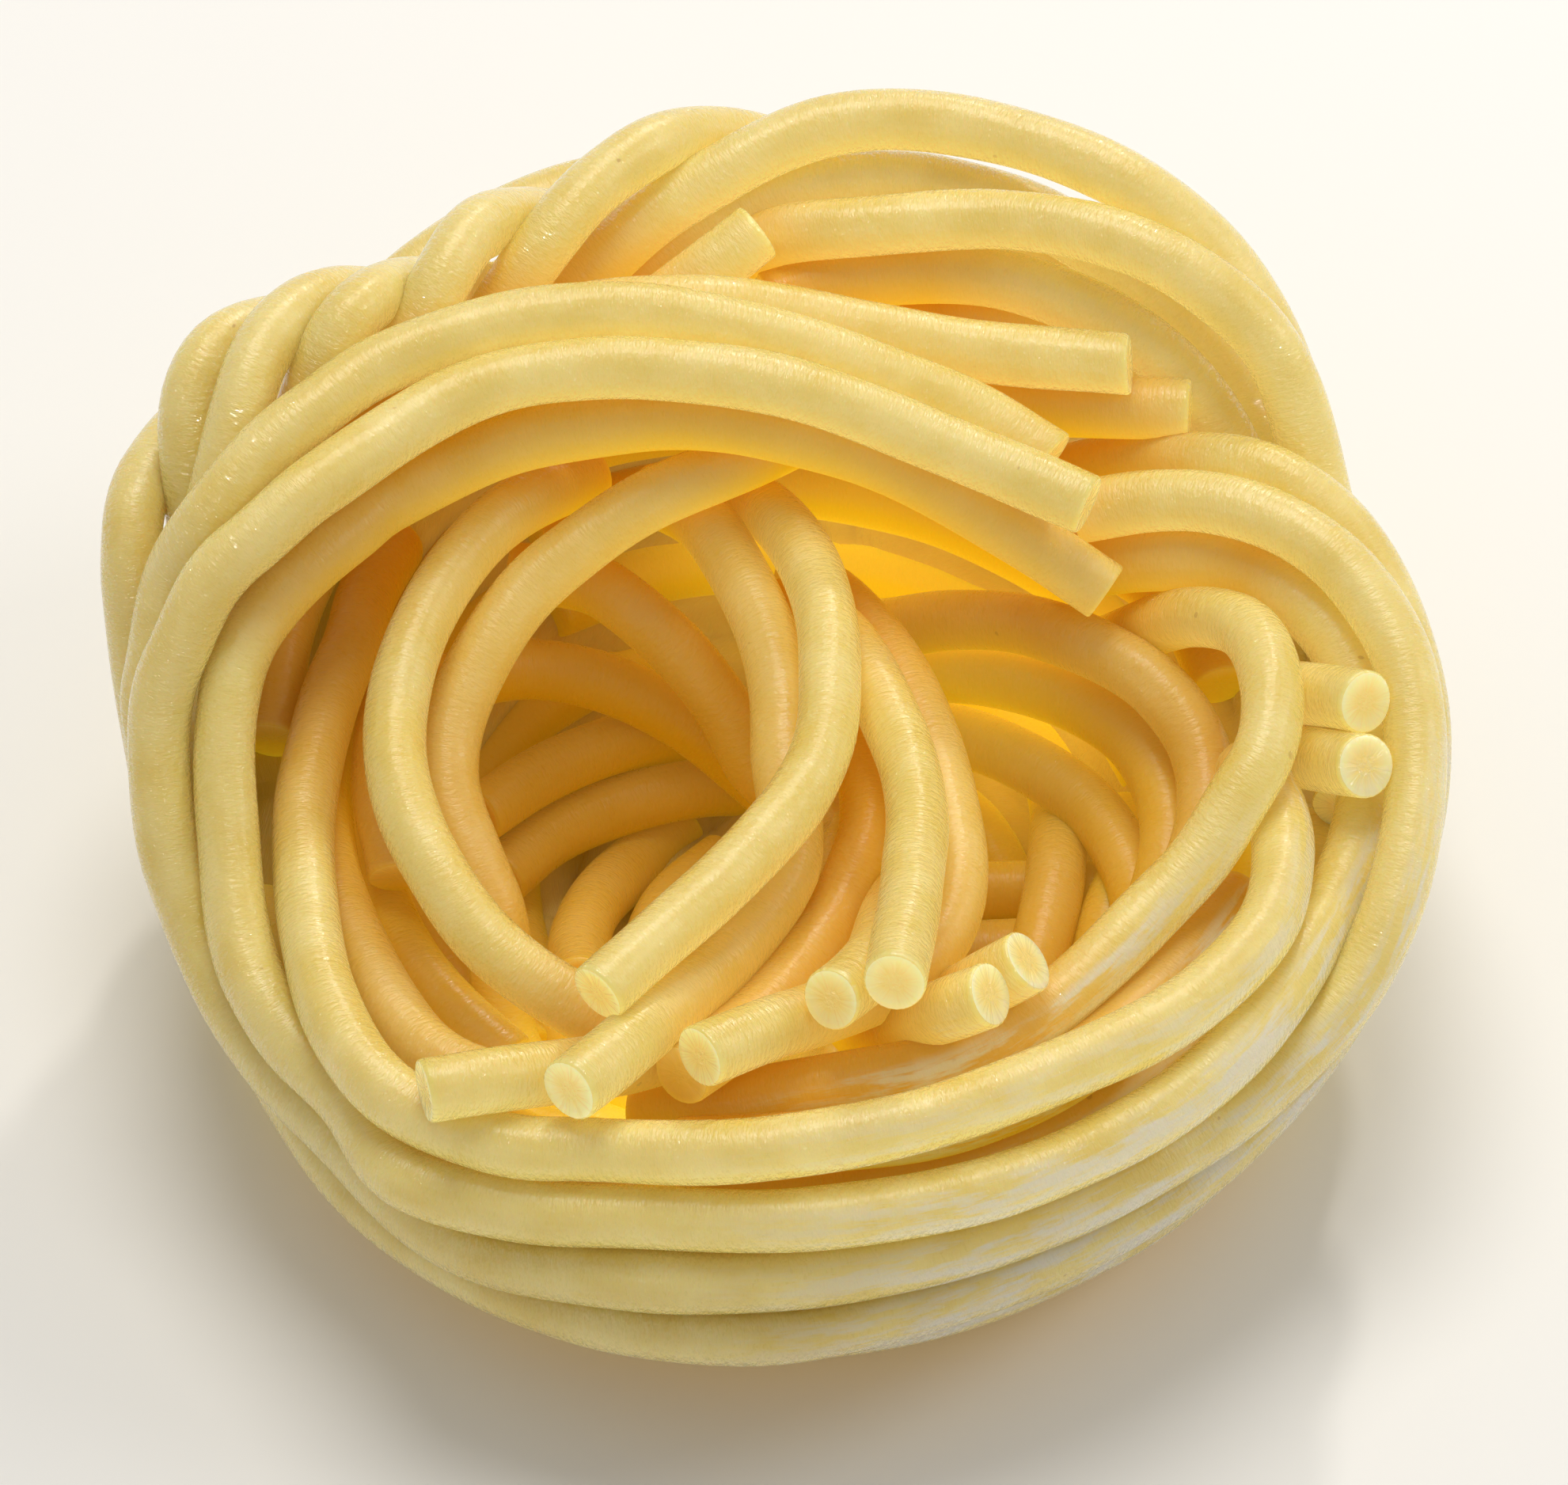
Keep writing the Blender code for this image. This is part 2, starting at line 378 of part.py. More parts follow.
def ring_places(line, sag):
    """Which of a line's points carry a ring: few where it runs straight and more where it bends."""
    ahead = np.diff(line, axis=0)
    ahead /= np.linalg.norm(ahead, axis=1)[:, None]
    bend = np.linalg.norm(np.diff(ahead, axis=0), axis=1) / STATION_STEP
    bend = np.concatenate([bend[:1], bend, bend[-1:]])
    bend = np.convolve(np.pad(bend, 4, mode="edge"), np.full(9, 1 / 9), mode="valid")
    spacing = np.clip(np.sqrt(8 * sag / np.maximum(bend, 1e-3)), RING_LEAST, RING_MOST)
    along = np.concatenate([[0], np.cumsum(2 * STATION_STEP / (spacing[1:] + spacing[:-1]))])
    count = max(2, round(along[-1])) + 1
    return np.interp(np.linspace(0, along[-1], count), along, np.arange(len(line))).round().astype(int)


def tube(name, line):
    """A tube along a line with flat sides and square-cut ends."""
    shown = name in CURLS or name in ARCHES
    sides = SHOWN_SIDES if shown else HIDDEN_SIDES
    rings = line[ring_places(line, SHOWN_SAG if shown else HIDDEN_SAG)]
    count = len(rings)
    ahead = np.gradient(rings, axis=0)
    ahead /= np.linalg.norm(ahead, axis=1)[:, None]
    side = np.cross(ahead, [0, 0, 1.0])
    side /= np.linalg.norm(side, axis=1)[:, None]
    up = np.cross(side, ahead)
    corner = STRAND / 2 * CORNER_SHARE
    turn = np.arange(sides) * 2 * math.pi / sides
    points = (rings[:, None] + corner * (side[:, None] * np.cos(turn)[None, :, None]
                                         + up[:, None] * np.sin(turn)[None, :, None]))
    faces = [list(range(sides))]
    for r in range(count - 1):
        for s in range(sides):
            n = (s + 1) % sides
            a, b = r * sides, (r + 1) * sides
            faces.append([a + s, b + s, b + n, a + n])
    faces.append([(count - 1) * sides + s for s in reversed(range(sides))])
    made = build_mesh(name, points.reshape(-1, 3), faces)
    face_outwards(made)
    return made


def face_outwards(made):
    shape = bmesh.new()
    shape.from_mesh(made.data)
    bmesh.ops.recalc_face_normals(shape, faces=shape.faces)
    shape.to_mesh(made.data)
    shape.free()


def core_top(reach, angle):
    """Height of the core's upper side: floor, wall and rim, with the ridge between the hollows."""
    turn = math.radians(angle)
    rim = RIM_FRONT + (RIM_BACK - RIM_FRONT) * (0.5 + 0.5 * math.sin(turn)) ** 2
    inner = HOLLOW_REACH - 2.4 * max(0.0, math.cos(turn - math.radians(130)))
    climb = min(1.0, max(0.0, (reach - inner) / (RIM_REACH - inner)))
    height = FLOOR_TOP + (rim - FLOOR_TOP) * climb * climb * (3 - 2 * climb)
    x = reach * math.cos(turn) - RIDGE_X
    ridge = FLOOR_TOP + (RIDGE_TOP - FLOOR_TOP) * math.exp(-((x / RIDGE_HALF_WIDTH) ** 2))
    return max(height, ridge)


def core():
    """The filled middle of the bundle: a bowl with a ridge across it and a flat spot to rest on."""
    angles = np.arange(0, 360, 12)
    reaches = [1.5, 4.0, 7.0, 10.0, 13.0, 16.0, 19.0]
    rows = []
    for reach in reaches:
        rows.append([(reach, a, core_top(reach, a)) for a in angles])
    for share in (1.0, 0.72, 0.45, 0.2):
        row = []
        for a in angles:
            height = core_top(RIM_REACH, a) * share
            row.append((wall_reach(a, height) - WALL_SKIN, a, height - (0.8 if share == 1.0 else 0)))
        rows.append(row)
    rows.append([(wall_reach(a, 0.9) - 2.6, a, 0.9) for a in angles])
    rows.append([(BASE_REACH, a, 0.0) for a in angles])
    points = [(0, 0, core_top(0, 90))]
    for row in rows:
        points += [(r * math.cos(math.radians(a)), r * math.sin(math.radians(a)), z) for r, a, z in row]
    count = len(angles)
    faces = [[0, 1 + s, 1 + (s + 1) % count] for s in range(count)]
    for r in range(len(rows) - 1):
        for s in range(count):
            n = (s + 1) % count
            a, b = 1 + r * count, 1 + (r + 1) * count
            faces.append([a + s, b + s, b + n])
            faces.append([a + s, b + n, a + n])
    faces.append([1 + (len(rows) - 1) * count + s for s in reversed(range(count))])
    made = build_mesh("pasta_nest", points, faces)
    face_outwards(made)
    return made


def strand_lines():
    """Every strand's line by name, after all have settled against each other."""
    routes = {**ARCHES, **CURLS, **wall_windings(), **inner_windings(), **bottom_windings()}
    lines = [through(stations, middle) for middle, stations in routes.values()]
    shown = [name in ARCHES or name in CURLS for name in routes]
    return dict(zip(routes, settled(lines, shown)))


def pasta():
    material = bpy.data.materials.new("dried_pasta")
    material.use_nodes = True
    surface = material.node_tree.nodes["Principled BSDF"]
    surface.inputs["Base Color"].default_value = PASTA_COLOUR
    surface.inputs["Roughness"].default_value = 0.42
    surface.inputs["Metallic"].default_value = 0.0
    material.diffuse_color = PASTA_COLOUR
    return material


def join_strands(nest, lines):
    """One union fuses all strands to the core, and their own objects then go."""
    bundle = bpy.data.collections.new("strands")
    bpy.context.scene.collection.children.link(bundle)
    for name, line in lines.items():
        strand = tube(name, line)
        bpy.context.scene.collection.objects.unlink(strand)
        bundle.objects.link(strand)
    join = nest.modifiers.new("join", "BOOLEAN")
    join.operation = "UNION"
    join.operand_type = "COLLECTION"
    join.collection = bundle
    join.solver = "MANIFOLD"
    bpy.context.view_layer.update()
    whole = bpy.data.meshes.new_from_object(nest.evaluated_get(bpy.context.evaluated_depsgraph_get()))
    nest.modifiers.clear()
    nest.data = whole
    for strand in list(bundle.objects):
        bpy.data.objects.remove(strand)
    bpy.data.collections.remove(bundle)


def drop_scraps(nest):
    """Keeps the largest joined skin of the mesh, and leaves out loose scraps and sealed hollows."""
    shape = bmesh.new()
    shape.from_mesh(nest.data)
    bmesh.ops.triangulate(shape, faces=shape.faces)
    bmesh.ops.dissolve_degenerate(shape, dist=SLIVER * MM, edges=shape.edges)
    left = set(shape.faces)
    skins = []
    while left:
        skin = set()
        ahead = [next(iter(left))]
        while ahead:
            face = ahead.pop()
            if face in skin:
                continue
            skin.add(face)
            for edge in face.edges:
                if len(edge.link_faces) == 2:
                    ahead += edge.link_faces
        skins.append(skin)
        left -= skin
    skins.sort(key=len)
    for skin in skins[:-1]:
        bmesh.ops.delete(shape, geom=list(skin), context="FACES")
    shape.to_mesh(nest.data)
    shape.free()


def centre(nest):
    """Moves the nest so that its box stands centred on the origin."""
    count = len(nest.data.vertices)
    points = np.empty(count * 3)
    nest.data.vertices.foreach_get("co", points)
    points = points.reshape(-1, 3)
    points[:, :2] -= (points[:, :2].min(axis=0) + points[:, :2].max(axis=0)) / 2
    nest.data.vertices.foreach_set("co", points.ravel())
    nest.data.update()


def main():
    for old in list(bpy.data.objects):
        bpy.data.objects.remove(old)
    nest = core()
    join_strands(nest, strand_lines())
    drop_scraps(nest)
    centre(nest)
    nest.data.materials.clear()
    nest.data.materials.append(pasta())
    nest.data.shade_smooth()
    nest.data.set_sharp_from_angle(angle=math.radians(40))


main()
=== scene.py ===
# A nest of thick dry durum wheat strands, wound by hand and dried, on a plain pale floor.
# Lengths in the dictionaries are millimetres and angles are degrees: 0 is +X, 90 the back, 270 the front.
import math

import bpy
import numpy as np
from mathutils import Matrix, Vector


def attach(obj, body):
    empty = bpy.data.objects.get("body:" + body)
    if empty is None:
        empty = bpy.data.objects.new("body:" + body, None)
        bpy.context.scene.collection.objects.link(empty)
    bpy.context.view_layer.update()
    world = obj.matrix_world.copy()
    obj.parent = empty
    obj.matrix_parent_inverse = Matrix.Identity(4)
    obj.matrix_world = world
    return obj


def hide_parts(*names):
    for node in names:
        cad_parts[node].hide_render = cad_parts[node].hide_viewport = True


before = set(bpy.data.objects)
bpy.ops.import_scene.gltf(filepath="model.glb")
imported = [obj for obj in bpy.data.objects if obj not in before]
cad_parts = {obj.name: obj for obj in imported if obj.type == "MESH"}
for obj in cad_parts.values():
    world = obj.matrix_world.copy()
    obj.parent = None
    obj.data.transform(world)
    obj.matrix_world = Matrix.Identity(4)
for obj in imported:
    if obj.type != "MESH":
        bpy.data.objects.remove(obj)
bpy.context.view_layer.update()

mm = 0.001
nestMiddle = (0.0, 0.0)
ringMiddle = (-6.0, -3.0)
bridgeMiddle = (-6.0, -5.0)
floorRightMiddle = (9.0, -12.0)
floorLeftMiddle = (-1.0, -6.0)
floorFrontMiddle = (2.0, -4.0)

strand = {
    "radius": 1.18,          # half of a 2.4 mm strand, without its rough skin
    "stationStep": 1.2,      # spacing of the points that settle against each other
    "ringStep": 0.55,        # spacing of the rings of the finished tube
    "sides": 24,
    "touching": 2.45,        # least distance between the middles of two strands
    "settleRounds": 50,
    "sightRise": 50.0,       # the strands that show part along this line of sight
    "wallLimit": 23.9,
    "wallFoot": 1.3,
    "centreShift": (0.3664, 0.4381),   # puts the middle of the nest's box on the origin
    "stiff": 5,              # points of one strand this near along it aren't pushed apart
    # shares of an overlap that a round clears: of a shown pair along the line of sight and straight away, and
    # of a hidden one straight away
    "sightPush": 0.2,
    "shownPush": 0.08,
    "hiddenPush": 0.3,
    # the strand's unevenness: (share of the radius, millimetres for each radian along it, ripples around it)
    "waves": [(0.012, 2.3, 0), (0.01, 0.9, 2), (0.008, 1.4, -3)],
    "flat": (0.014, 9.0),    # and how much flatter it is one way, which turns along it
    "patternLength": 500.0,  # how far along the skin's pattern a strand may start
    "seed": 100,
}

wall = {
    "across": 50.0,
    "inset": 1.75,           # the middles of its windings lie this much farther in
    "oval": 0.5,             # how much it is drawn out along x and in along y
    "egg": 0.25,             # how much it is drawn in at the right and out at the left
    "lean": 3.9,             # how far the wall's foot draws in
    "leanPower": 1.3,
    "top": 14.0,
    "footWindings": 2,
    "footPitch": 1.9,
    "footSpan": (40, 386),   # where the first one starts and stops; the next is turned on by the footTurn
    "footTurn": 170,
    "footStep": 15,
    "backPitch": 2.95,
    # where each of the back windings starts and stops
    "backSpans": [(32, 172), (-20, 196), (40, 164), (8, 188), (32, 176), (-8, 192)],
    "backSteps": 12,
    # they climb from half their height between the first angles, and back down between the second
    "backRise": (5, 80),
    "backFall": (200, 100),
    "backSway": 0.4,
    "backTuck": 2.6,         # how far their ends turn in
}
endSpan = 24                 # the stretch at each end of a hidden winding that turns away


def ease(value, low, high):
    # 3c^2 - 2c^3 of the share c from low to high
    climb = np.clip((value - low) / (high - low), 0, 1)
    return climb**2 * (3 - 2 * climb)


def endShare(angle, start, stop):
    # (1 - degrees to the nearer end / end span)^2, and nothing farther in than the end span
    return np.maximum(0.0, 1 - np.minimum(angle - start, stop - angle) / endSpan) ** 2


def wallReach(angle, height):
    # plan of the outer wall: half the width - inset + oval cos(2a) - egg cos(a), less the lean times
    # (1 - height / top)^power below the wall's top
    turn = np.radians(angle)
    plan = wall["across"] / 2 - wall["inset"] + wall["oval"] * np.cos(2 * turn) - wall["egg"] * np.cos(turn)
    return plan - wall["lean"] * np.maximum(0.0, 1 - height / wall["top"]) ** wall["leanPower"]


def wallWindings():
    # foot windings: level turns up the wall; back windings: arcs that rise to full height at the back, with a
    # sway of backSway sin(2a + 110k), so that no two are alike
    found = {}
    for k in range(wall["footWindings"]):
        height = strand["wallFoot"] + wall["footPitch"] * k
        first, last = (a + wall["footTurn"] * k for a in wall["footSpan"])
        found[f"foot{k + 1}"] = (nestMiddle, [
            (a, wallReach(a, height), height) for a in range(first, last, wall["footStep"])])
    for k, (start, stop) in enumerate(wall["backSpans"]):
        a = np.arange(start, stop + 1, (stop - start) // wall["backSteps"])
        share = np.minimum(ease(a, *wall["backRise"]), ease(a, *wall["backFall"]))
        sway = wall["backSway"] * np.sin(np.radians(2 * a + 110 * k))
        height = strand["wallFoot"] + wall["backPitch"] * (k + 1) * (0.5 + 0.5 * share) + sway
        reach = wallReach(a, height) - wall["backTuck"] * endShare(a, start, stop)
        found[f"back{k + 1}"] = (nestMiddle, list(zip(a, reach, height)))
    return found


lining = {
    "rows": [(6.0, 14.2), (9.2, 15.2), (12.4, 16.0)],   # (height, reach) behind the right hollow
    "rowAngles": (12, 132, 17),
    "rowSway": 0.3,
    "rowClimb": 0.02,        # height for each degree round from their middle
    "rowMiddle": 60,
    "bottom": [16.9, 14.2],  # reaches of the turns underneath
    "bottomLength": 330,
    "bottomStep": 18,
    "bottomSway": 0.5,
    # turns inside the bowl, whose core they hide: (reach, height, from, to)
    "fill": [(19.0, 13.2, 92, 180), (19.6, 10.6, 196, 356), (17.4, 11.0, 96, 206), (18.4, 8.6, 170, 368),
             (16.0, 8.8, 88, 236), (16.2, 7.2, 196, 392), (18.6, 12.2, 258, 342), (14.4, 6.4, 70, 236),
             (14.2, 5.2, 205, 380), (12.6, 4.6, 100, 300), (11.6, 3.8, 270, 440), (10.4, 3.2, 120, 330),
             (8.6, 3.0, 205, 420)],
    "fillSteps": 8,
    "fillSway": 0.4,
    "dive": 1.6,             # how far the ends of those turns dip out of sight
}


def liningWindings():
    # arcs that line the hollows and turns underneath: reach + sway sin(3a), or sin(a) underneath, and height +
    # sway sin(2a), each with its own start so that no two turns are alike
    found = {}
    for k, (height, reach) in enumerate(lining["rows"]):
        found[f"lining{k + 1}"] = (nestMiddle, [
            (a, reach + lining["rowSway"] * math.sin(math.radians(3 * a)),
             height + lining["rowClimb"] * (a - lining["rowMiddle"])) for a in range(*lining["rowAngles"])])
    for k, reach in enumerate(lining["bottom"]):
        found[f"bottom{k + 1}"] = (nestMiddle, [
            (a, reach + lining["bottomSway"] * math.sin(math.radians(a + 70 * k)), strand["wallFoot"])
            for a in range(60 * k, 60 * k + lining["bottomLength"], lining["bottomStep"])])
    for k, (reach, height, start, stop) in enumerate(lining["fill"]):
        a = np.arange(start, stop + 1, (stop - start) // lining["fillSteps"])
        waved = reach + lining["fillSway"] * np.sin(np.radians(3 * a + 70 * k))
        rise = height + lining["fillSway"] * np.sin(np.radians(2 * a + 50 * k))
        found[f"fill{k + 1}"] = (
            nestMiddle, list(zip(a, waved, rise - lining["dive"] * endShare(a, start, stop))))
    return found


outerLoops = {
    "frontUpper": (nestMiddle, [
        (38, 12.8, 19.2), (52, 12, 19.9), (68, 11.3, 20.8), (84, 11.3, 21.6), (100, 12, 22.3),
        (116, 13.3, 22.9), (132, 15.2, 23), (148, 17.5, 23), (158, 18.9, 22.8), (164.2, 20.1, 22.3),
        (171.4, 21.7, 20.9), (173.4, 22.8, 18.8), (175.7, 23.2, 17.5), (179, 23.5, 15.8),
        (180.9, 23.7, 14.7), (184.1, 23.5, 13), (190.2, 23.4, 10.9), (194.6, 23.1, 9.6),
        (199.6, 22.9, 8.8), (205.3, 22.7, 8), (211.4, 22.4, 7.4), (226, 23.1, 6.9), (240, 23.7, 6.8),
        (255, 24.2, 7.3), (270, 24.2, 7.7), (288, 23.3, 7.9), (308, 22.9, 8), (326, 23.1, 9),
        (342, 23.7, 11.3), (356, 23.9, 13.6), (368, 23.4, 15.1), (378, 22.5, 16.2), (386, 21, 17),
        (393, 19.6, 16.5), (402, 18.2, 15), (411, 17, 13)]),
    "frontTop": (nestMiddle, [
        (27, 12.9, 19), (38, 11.3, 19.4), (54, 9.9, 20.1), (72, 9.3, 20.9), (90, 9.4, 21.7),
        (108, 10.4, 22), (126, 12.3, 22.2), (144, 14.8, 22.2), (166.4, 17.8, 22), (172.4, 19.4, 21.3),
        (176.9, 21.1, 20.3), (181.4, 22.3, 18.5), (184.3, 23.1, 16.9), (188.3, 23.4, 15),
        (194.2, 23.5, 12.9), (198.8, 23.4, 11.7), (203.4, 23.3, 10.8), (208.8, 23.2, 9.9),
        (215.1, 23.1, 9.5), (223.7, 23, 9.1), (240, 24.1, 8.9), (256, 23.9, 9.7), (272, 23.6, 10.3),
        (288, 23.1, 10.4), (302, 22.9, 10.4), (317, 23, 10.5), (333, 23.4, 11.9), (346, 23.7, 14.3),
        (359, 23.2, 16.3), (369, 21.8, 17.3), (377, 20, 17.6), (384, 18, 17.3), (390, 16, 16.6),
        (396, 13.8, 15.7)]),
    "frontLower": (nestMiddle, [
        (24, 13.5, 14.5), (36, 11.6, 16), (51, 10, 17.6), (69, 9.1, 18.9), (88, 8.9, 19.6),
        (106, 9.7, 19.9), (122, 10.9, 19.9), (140, 13.4, 19.4), (156, 16.1, 18.6), (161.4, 17, 18.3),
        (168.2, 18.3, 18), (173.4, 19.4, 17.5), (178.4, 20.3, 17), (183.3, 20.8, 16.3),
        (189.3, 21.2, 15.1), (197.3, 21.6, 13.7), (203.9, 22.2, 12.7), (209.3, 22.6, 12),
        (214, 22.7, 11.5), (217.8, 22.7, 11.2), (225.5, 22.7, 11), (235, 24, 11), (246, 23.4, 11.3),
        (258, 22.6, 11.8), (272, 22.5, 12.2), (288, 22.4, 12.2), (303, 22.4, 12.2), (317, 22.4, 12.2),
        (331, 22.4, 12.3), (345, 22.5, 13.1), (359, 22, 14.4), (369, 20.4, 15.5), (378, 17.8, 15.7),
        (386, 14.6, 15), (392, 12.8, 14)]),
    "leftOuter": (nestMiddle, [
        (152.8, 24.8, 18.2), (159.3, 24.7, 19), (165, 24.9, 18.6), (169.7, 24.8, 17),
        (172.1, 24.6, 15.3), (175.3, 24.3, 13.1), (179.7, 23.8, 10.8), (185.8, 23.4, 8.7),
        (190.9, 22.9, 7.2), (199.4, 22.3, 6), (207.5, 21.7, 5.3), (225, 22.2, 4.8), (242, 22.3, 4.7),
        (262, 22.4, 5.1), (285, 22, 5.2), (310, 21.7, 5.4), (335, 21.9, 5.9), (352, 22.2, 6.4)]),
    "frontRim": (nestMiddle, [
        (-4, 17.6, 12.2), (-11, 18.4, 14), (-21, 19.8, 14.5), (-32, 20.7, 14.4), (-46, 20.7, 14.6),
        (-62, 20.4, 14.9), (-78, 20.7, 14.9), (-94, 21.1, 14.4), (-110, 21.4, 13.2),
        (-116.7, 22.2, 13.1), (-124.9, 22.5, 12.9), (-130.5, 22.5, 12.9), (-136.2, 22, 12.9),
        (-142.5, 21.2, 12.9), (-148.7, 20.3, 12.9), (-155.2, 19.5, 12.9), (-162.2, 18.8, 12.9),
        (-169.2, 18.2, 13), (-176.7, 17.6, 13.1), (-185, 17.2, 13.1), (-193.9, 17, 13),
        (-203.7, 17.5, 12.6), (-213.9, 18.2, 11.8)]),
    "leftInner": (nestMiddle, [
        (-193.2, 17.5, 10), (-183.6, 17.4, 10.6), (-174.6, 17.6, 10.9), (-166.3, 17.8, 11),
        (-158.1, 18.1, 11.1), (-149.5, 18.4, 11.4), (-141, 19, 11.7), (-133.7, 19.5, 11.8),
        (-127.8, 19.6, 11.9), (-120.9, 19.1, 11.8)]),
    "curl": (nestMiddle, [
        (27.4, 14, 10.2), (22.3, 14.7, 12), (17.9, 15.4, 13.6), (13.6, 16.3, 14.9), (8.9, 17.4, 15.7),
        (3.6, 18, 16.1), (-1.6, 18.3, 16.1), (-6.1, 18.4, 15.9), (-11.4, 18.3, 15.4),
        (-17.8, 17.7, 14.8), (-25.7, 17.2, 14.2), (-34.7, 16.6, 13.9), (-46.5, 16.4, 13.7),
        (-56.7, 16.3, 13.5), (-68, 16.1, 13.1), (-78.7, 16.1, 12.8), (-89.1, 16.5, 12.6),
        (-98.8, 17.1, 12.1), (-108.2, 17.6, 11.4)]),
}
rimStrands = {
    "crown": (nestMiddle, [
        (128, 18.4, 16.5), (113, 18.8, 20), (100, 20.6, 21.6), (85, 22.4, 22.8), (70, 23.1, 23),
        (53, 23.3, 22.6), (40, 24, 19.2), (28, 23.2, 14.6), (12, 22, 9.5)]),
    "crownUnder": (nestMiddle, [
        (111.3, 18.8, 17), (106.9, 19.1, 18.6), (100.7, 20, 19.6), (92.6, 20.9, 20.3),
        (85.1, 21.4, 20.6), (77.1, 22, 20.5), (68.9, 22.2, 20.3), (62.1, 22.4, 19.8),
        (53.9, 22.4, 18.9), (46.4, 22.7, 17.4), (40.1, 22.9, 15.4), (34.3, 23, 12.8),
        (29.5, 22.6, 10.2)]),
    "second": (nestMiddle, [
        (101, 17.5, 18.4), (92, 18.5, 19.7), (80, 18.8, 20.6), (66, 20.3, 21.2), (54, 21.2, 21.8),
        (44, 22.1, 21.3), (35, 22.9, 19.6), (26, 22.7, 16.2), (12, 22.2, 11.8)]),
    "secondUnder": (nestMiddle, [
        (93.1, 17.2, 18.6), (84.1, 17.9, 18.9), (70.6, 19.4, 18.6), (62, 20.3, 18.2),
        (53, 20.9, 17.7), (45, 21.3, 16.8), (38.5, 21.8, 14.9), (32.6, 22, 12.2)]),
    "secondInner": (nestMiddle, [
        (99.5, 16.8, 16.6), (89, 17.1, 17.2), (78.9, 17.6, 17.4), (66.8, 18.7, 17.2),
        (54.7, 20.3, 16.4), (45, 21.4, 14.8), (36.7, 22, 12.6)]),
    "backShort": (nestMiddle, [
        (93, 17.2, 22), (100, 16.1, 21.3), (107, 15.7, 20.3), (115, 16, 18.8), (124, 16.8, 16.6)]),
    "backLong": (nestMiddle, [
        (44, 18.4, 19.2), (60, 15.4, 19.4), (76, 14, 20.2), (90, 13.8, 21), (106, 14.2, 21.7),
        (124, 15.6, 21.8), (140, 17, 21), (156, 19.2, 19.2), (172, 21.2, 16.4), (190, 22.6, 12.8)]),
    "shelf": (nestMiddle, [
        (38, 20, 16.6), (46, 18, 16.2), (55, 16.2, 16.4), (68, 15, 17), (84, 14.8, 17.4),
        (100, 15.2, 17.4), (116, 16, 16.4)]),
    "twist1": (nestMiddle, [
        (166.3, 22.9, 13.2), (165.7, 23.2, 15.4), (164.6, 23.3, 17.6), (162.8, 23.6, 19.4),
        (159, 24, 21.4), (154, 23.8, 22.6), (148, 23.2, 22), (140, 22.8, 19.6), (130, 22.4, 16.2)]),
    "twist2": (nestMiddle, [
        (170, 22.2, 16.5), (159, 22, 20.8), (152, 22.2, 22.2), (145, 22, 22.5), (138, 21.7, 21.2),
        (130, 21.6, 18.4), (120, 21.6, 15)]),
    "twist3": (nestMiddle, [
        (160, 20.4, 18.2), (151, 20.4, 21.2), (145, 20.3, 22.5), (138, 20.3, 22), (130, 20.6, 20),
        (121, 21, 17.2)]),
    "twist4": (nestMiddle, [
        (150, 18.6, 18), (140, 18.9, 21.6), (132, 19.5, 22.9), (125, 20.2, 23), (117, 20.8, 21.4),
        (108, 21.4, 18.4), (98, 22, 15)]),
    "twist5": (nestMiddle, [
        (137, 17.8, 17.6), (127, 18.1, 20.8), (119, 18.8, 22.4), (110, 20.2, 22.8), (100, 21.9, 22.3),
        (91, 23.2, 20.4), (80, 23.4, 17.6)]),
}
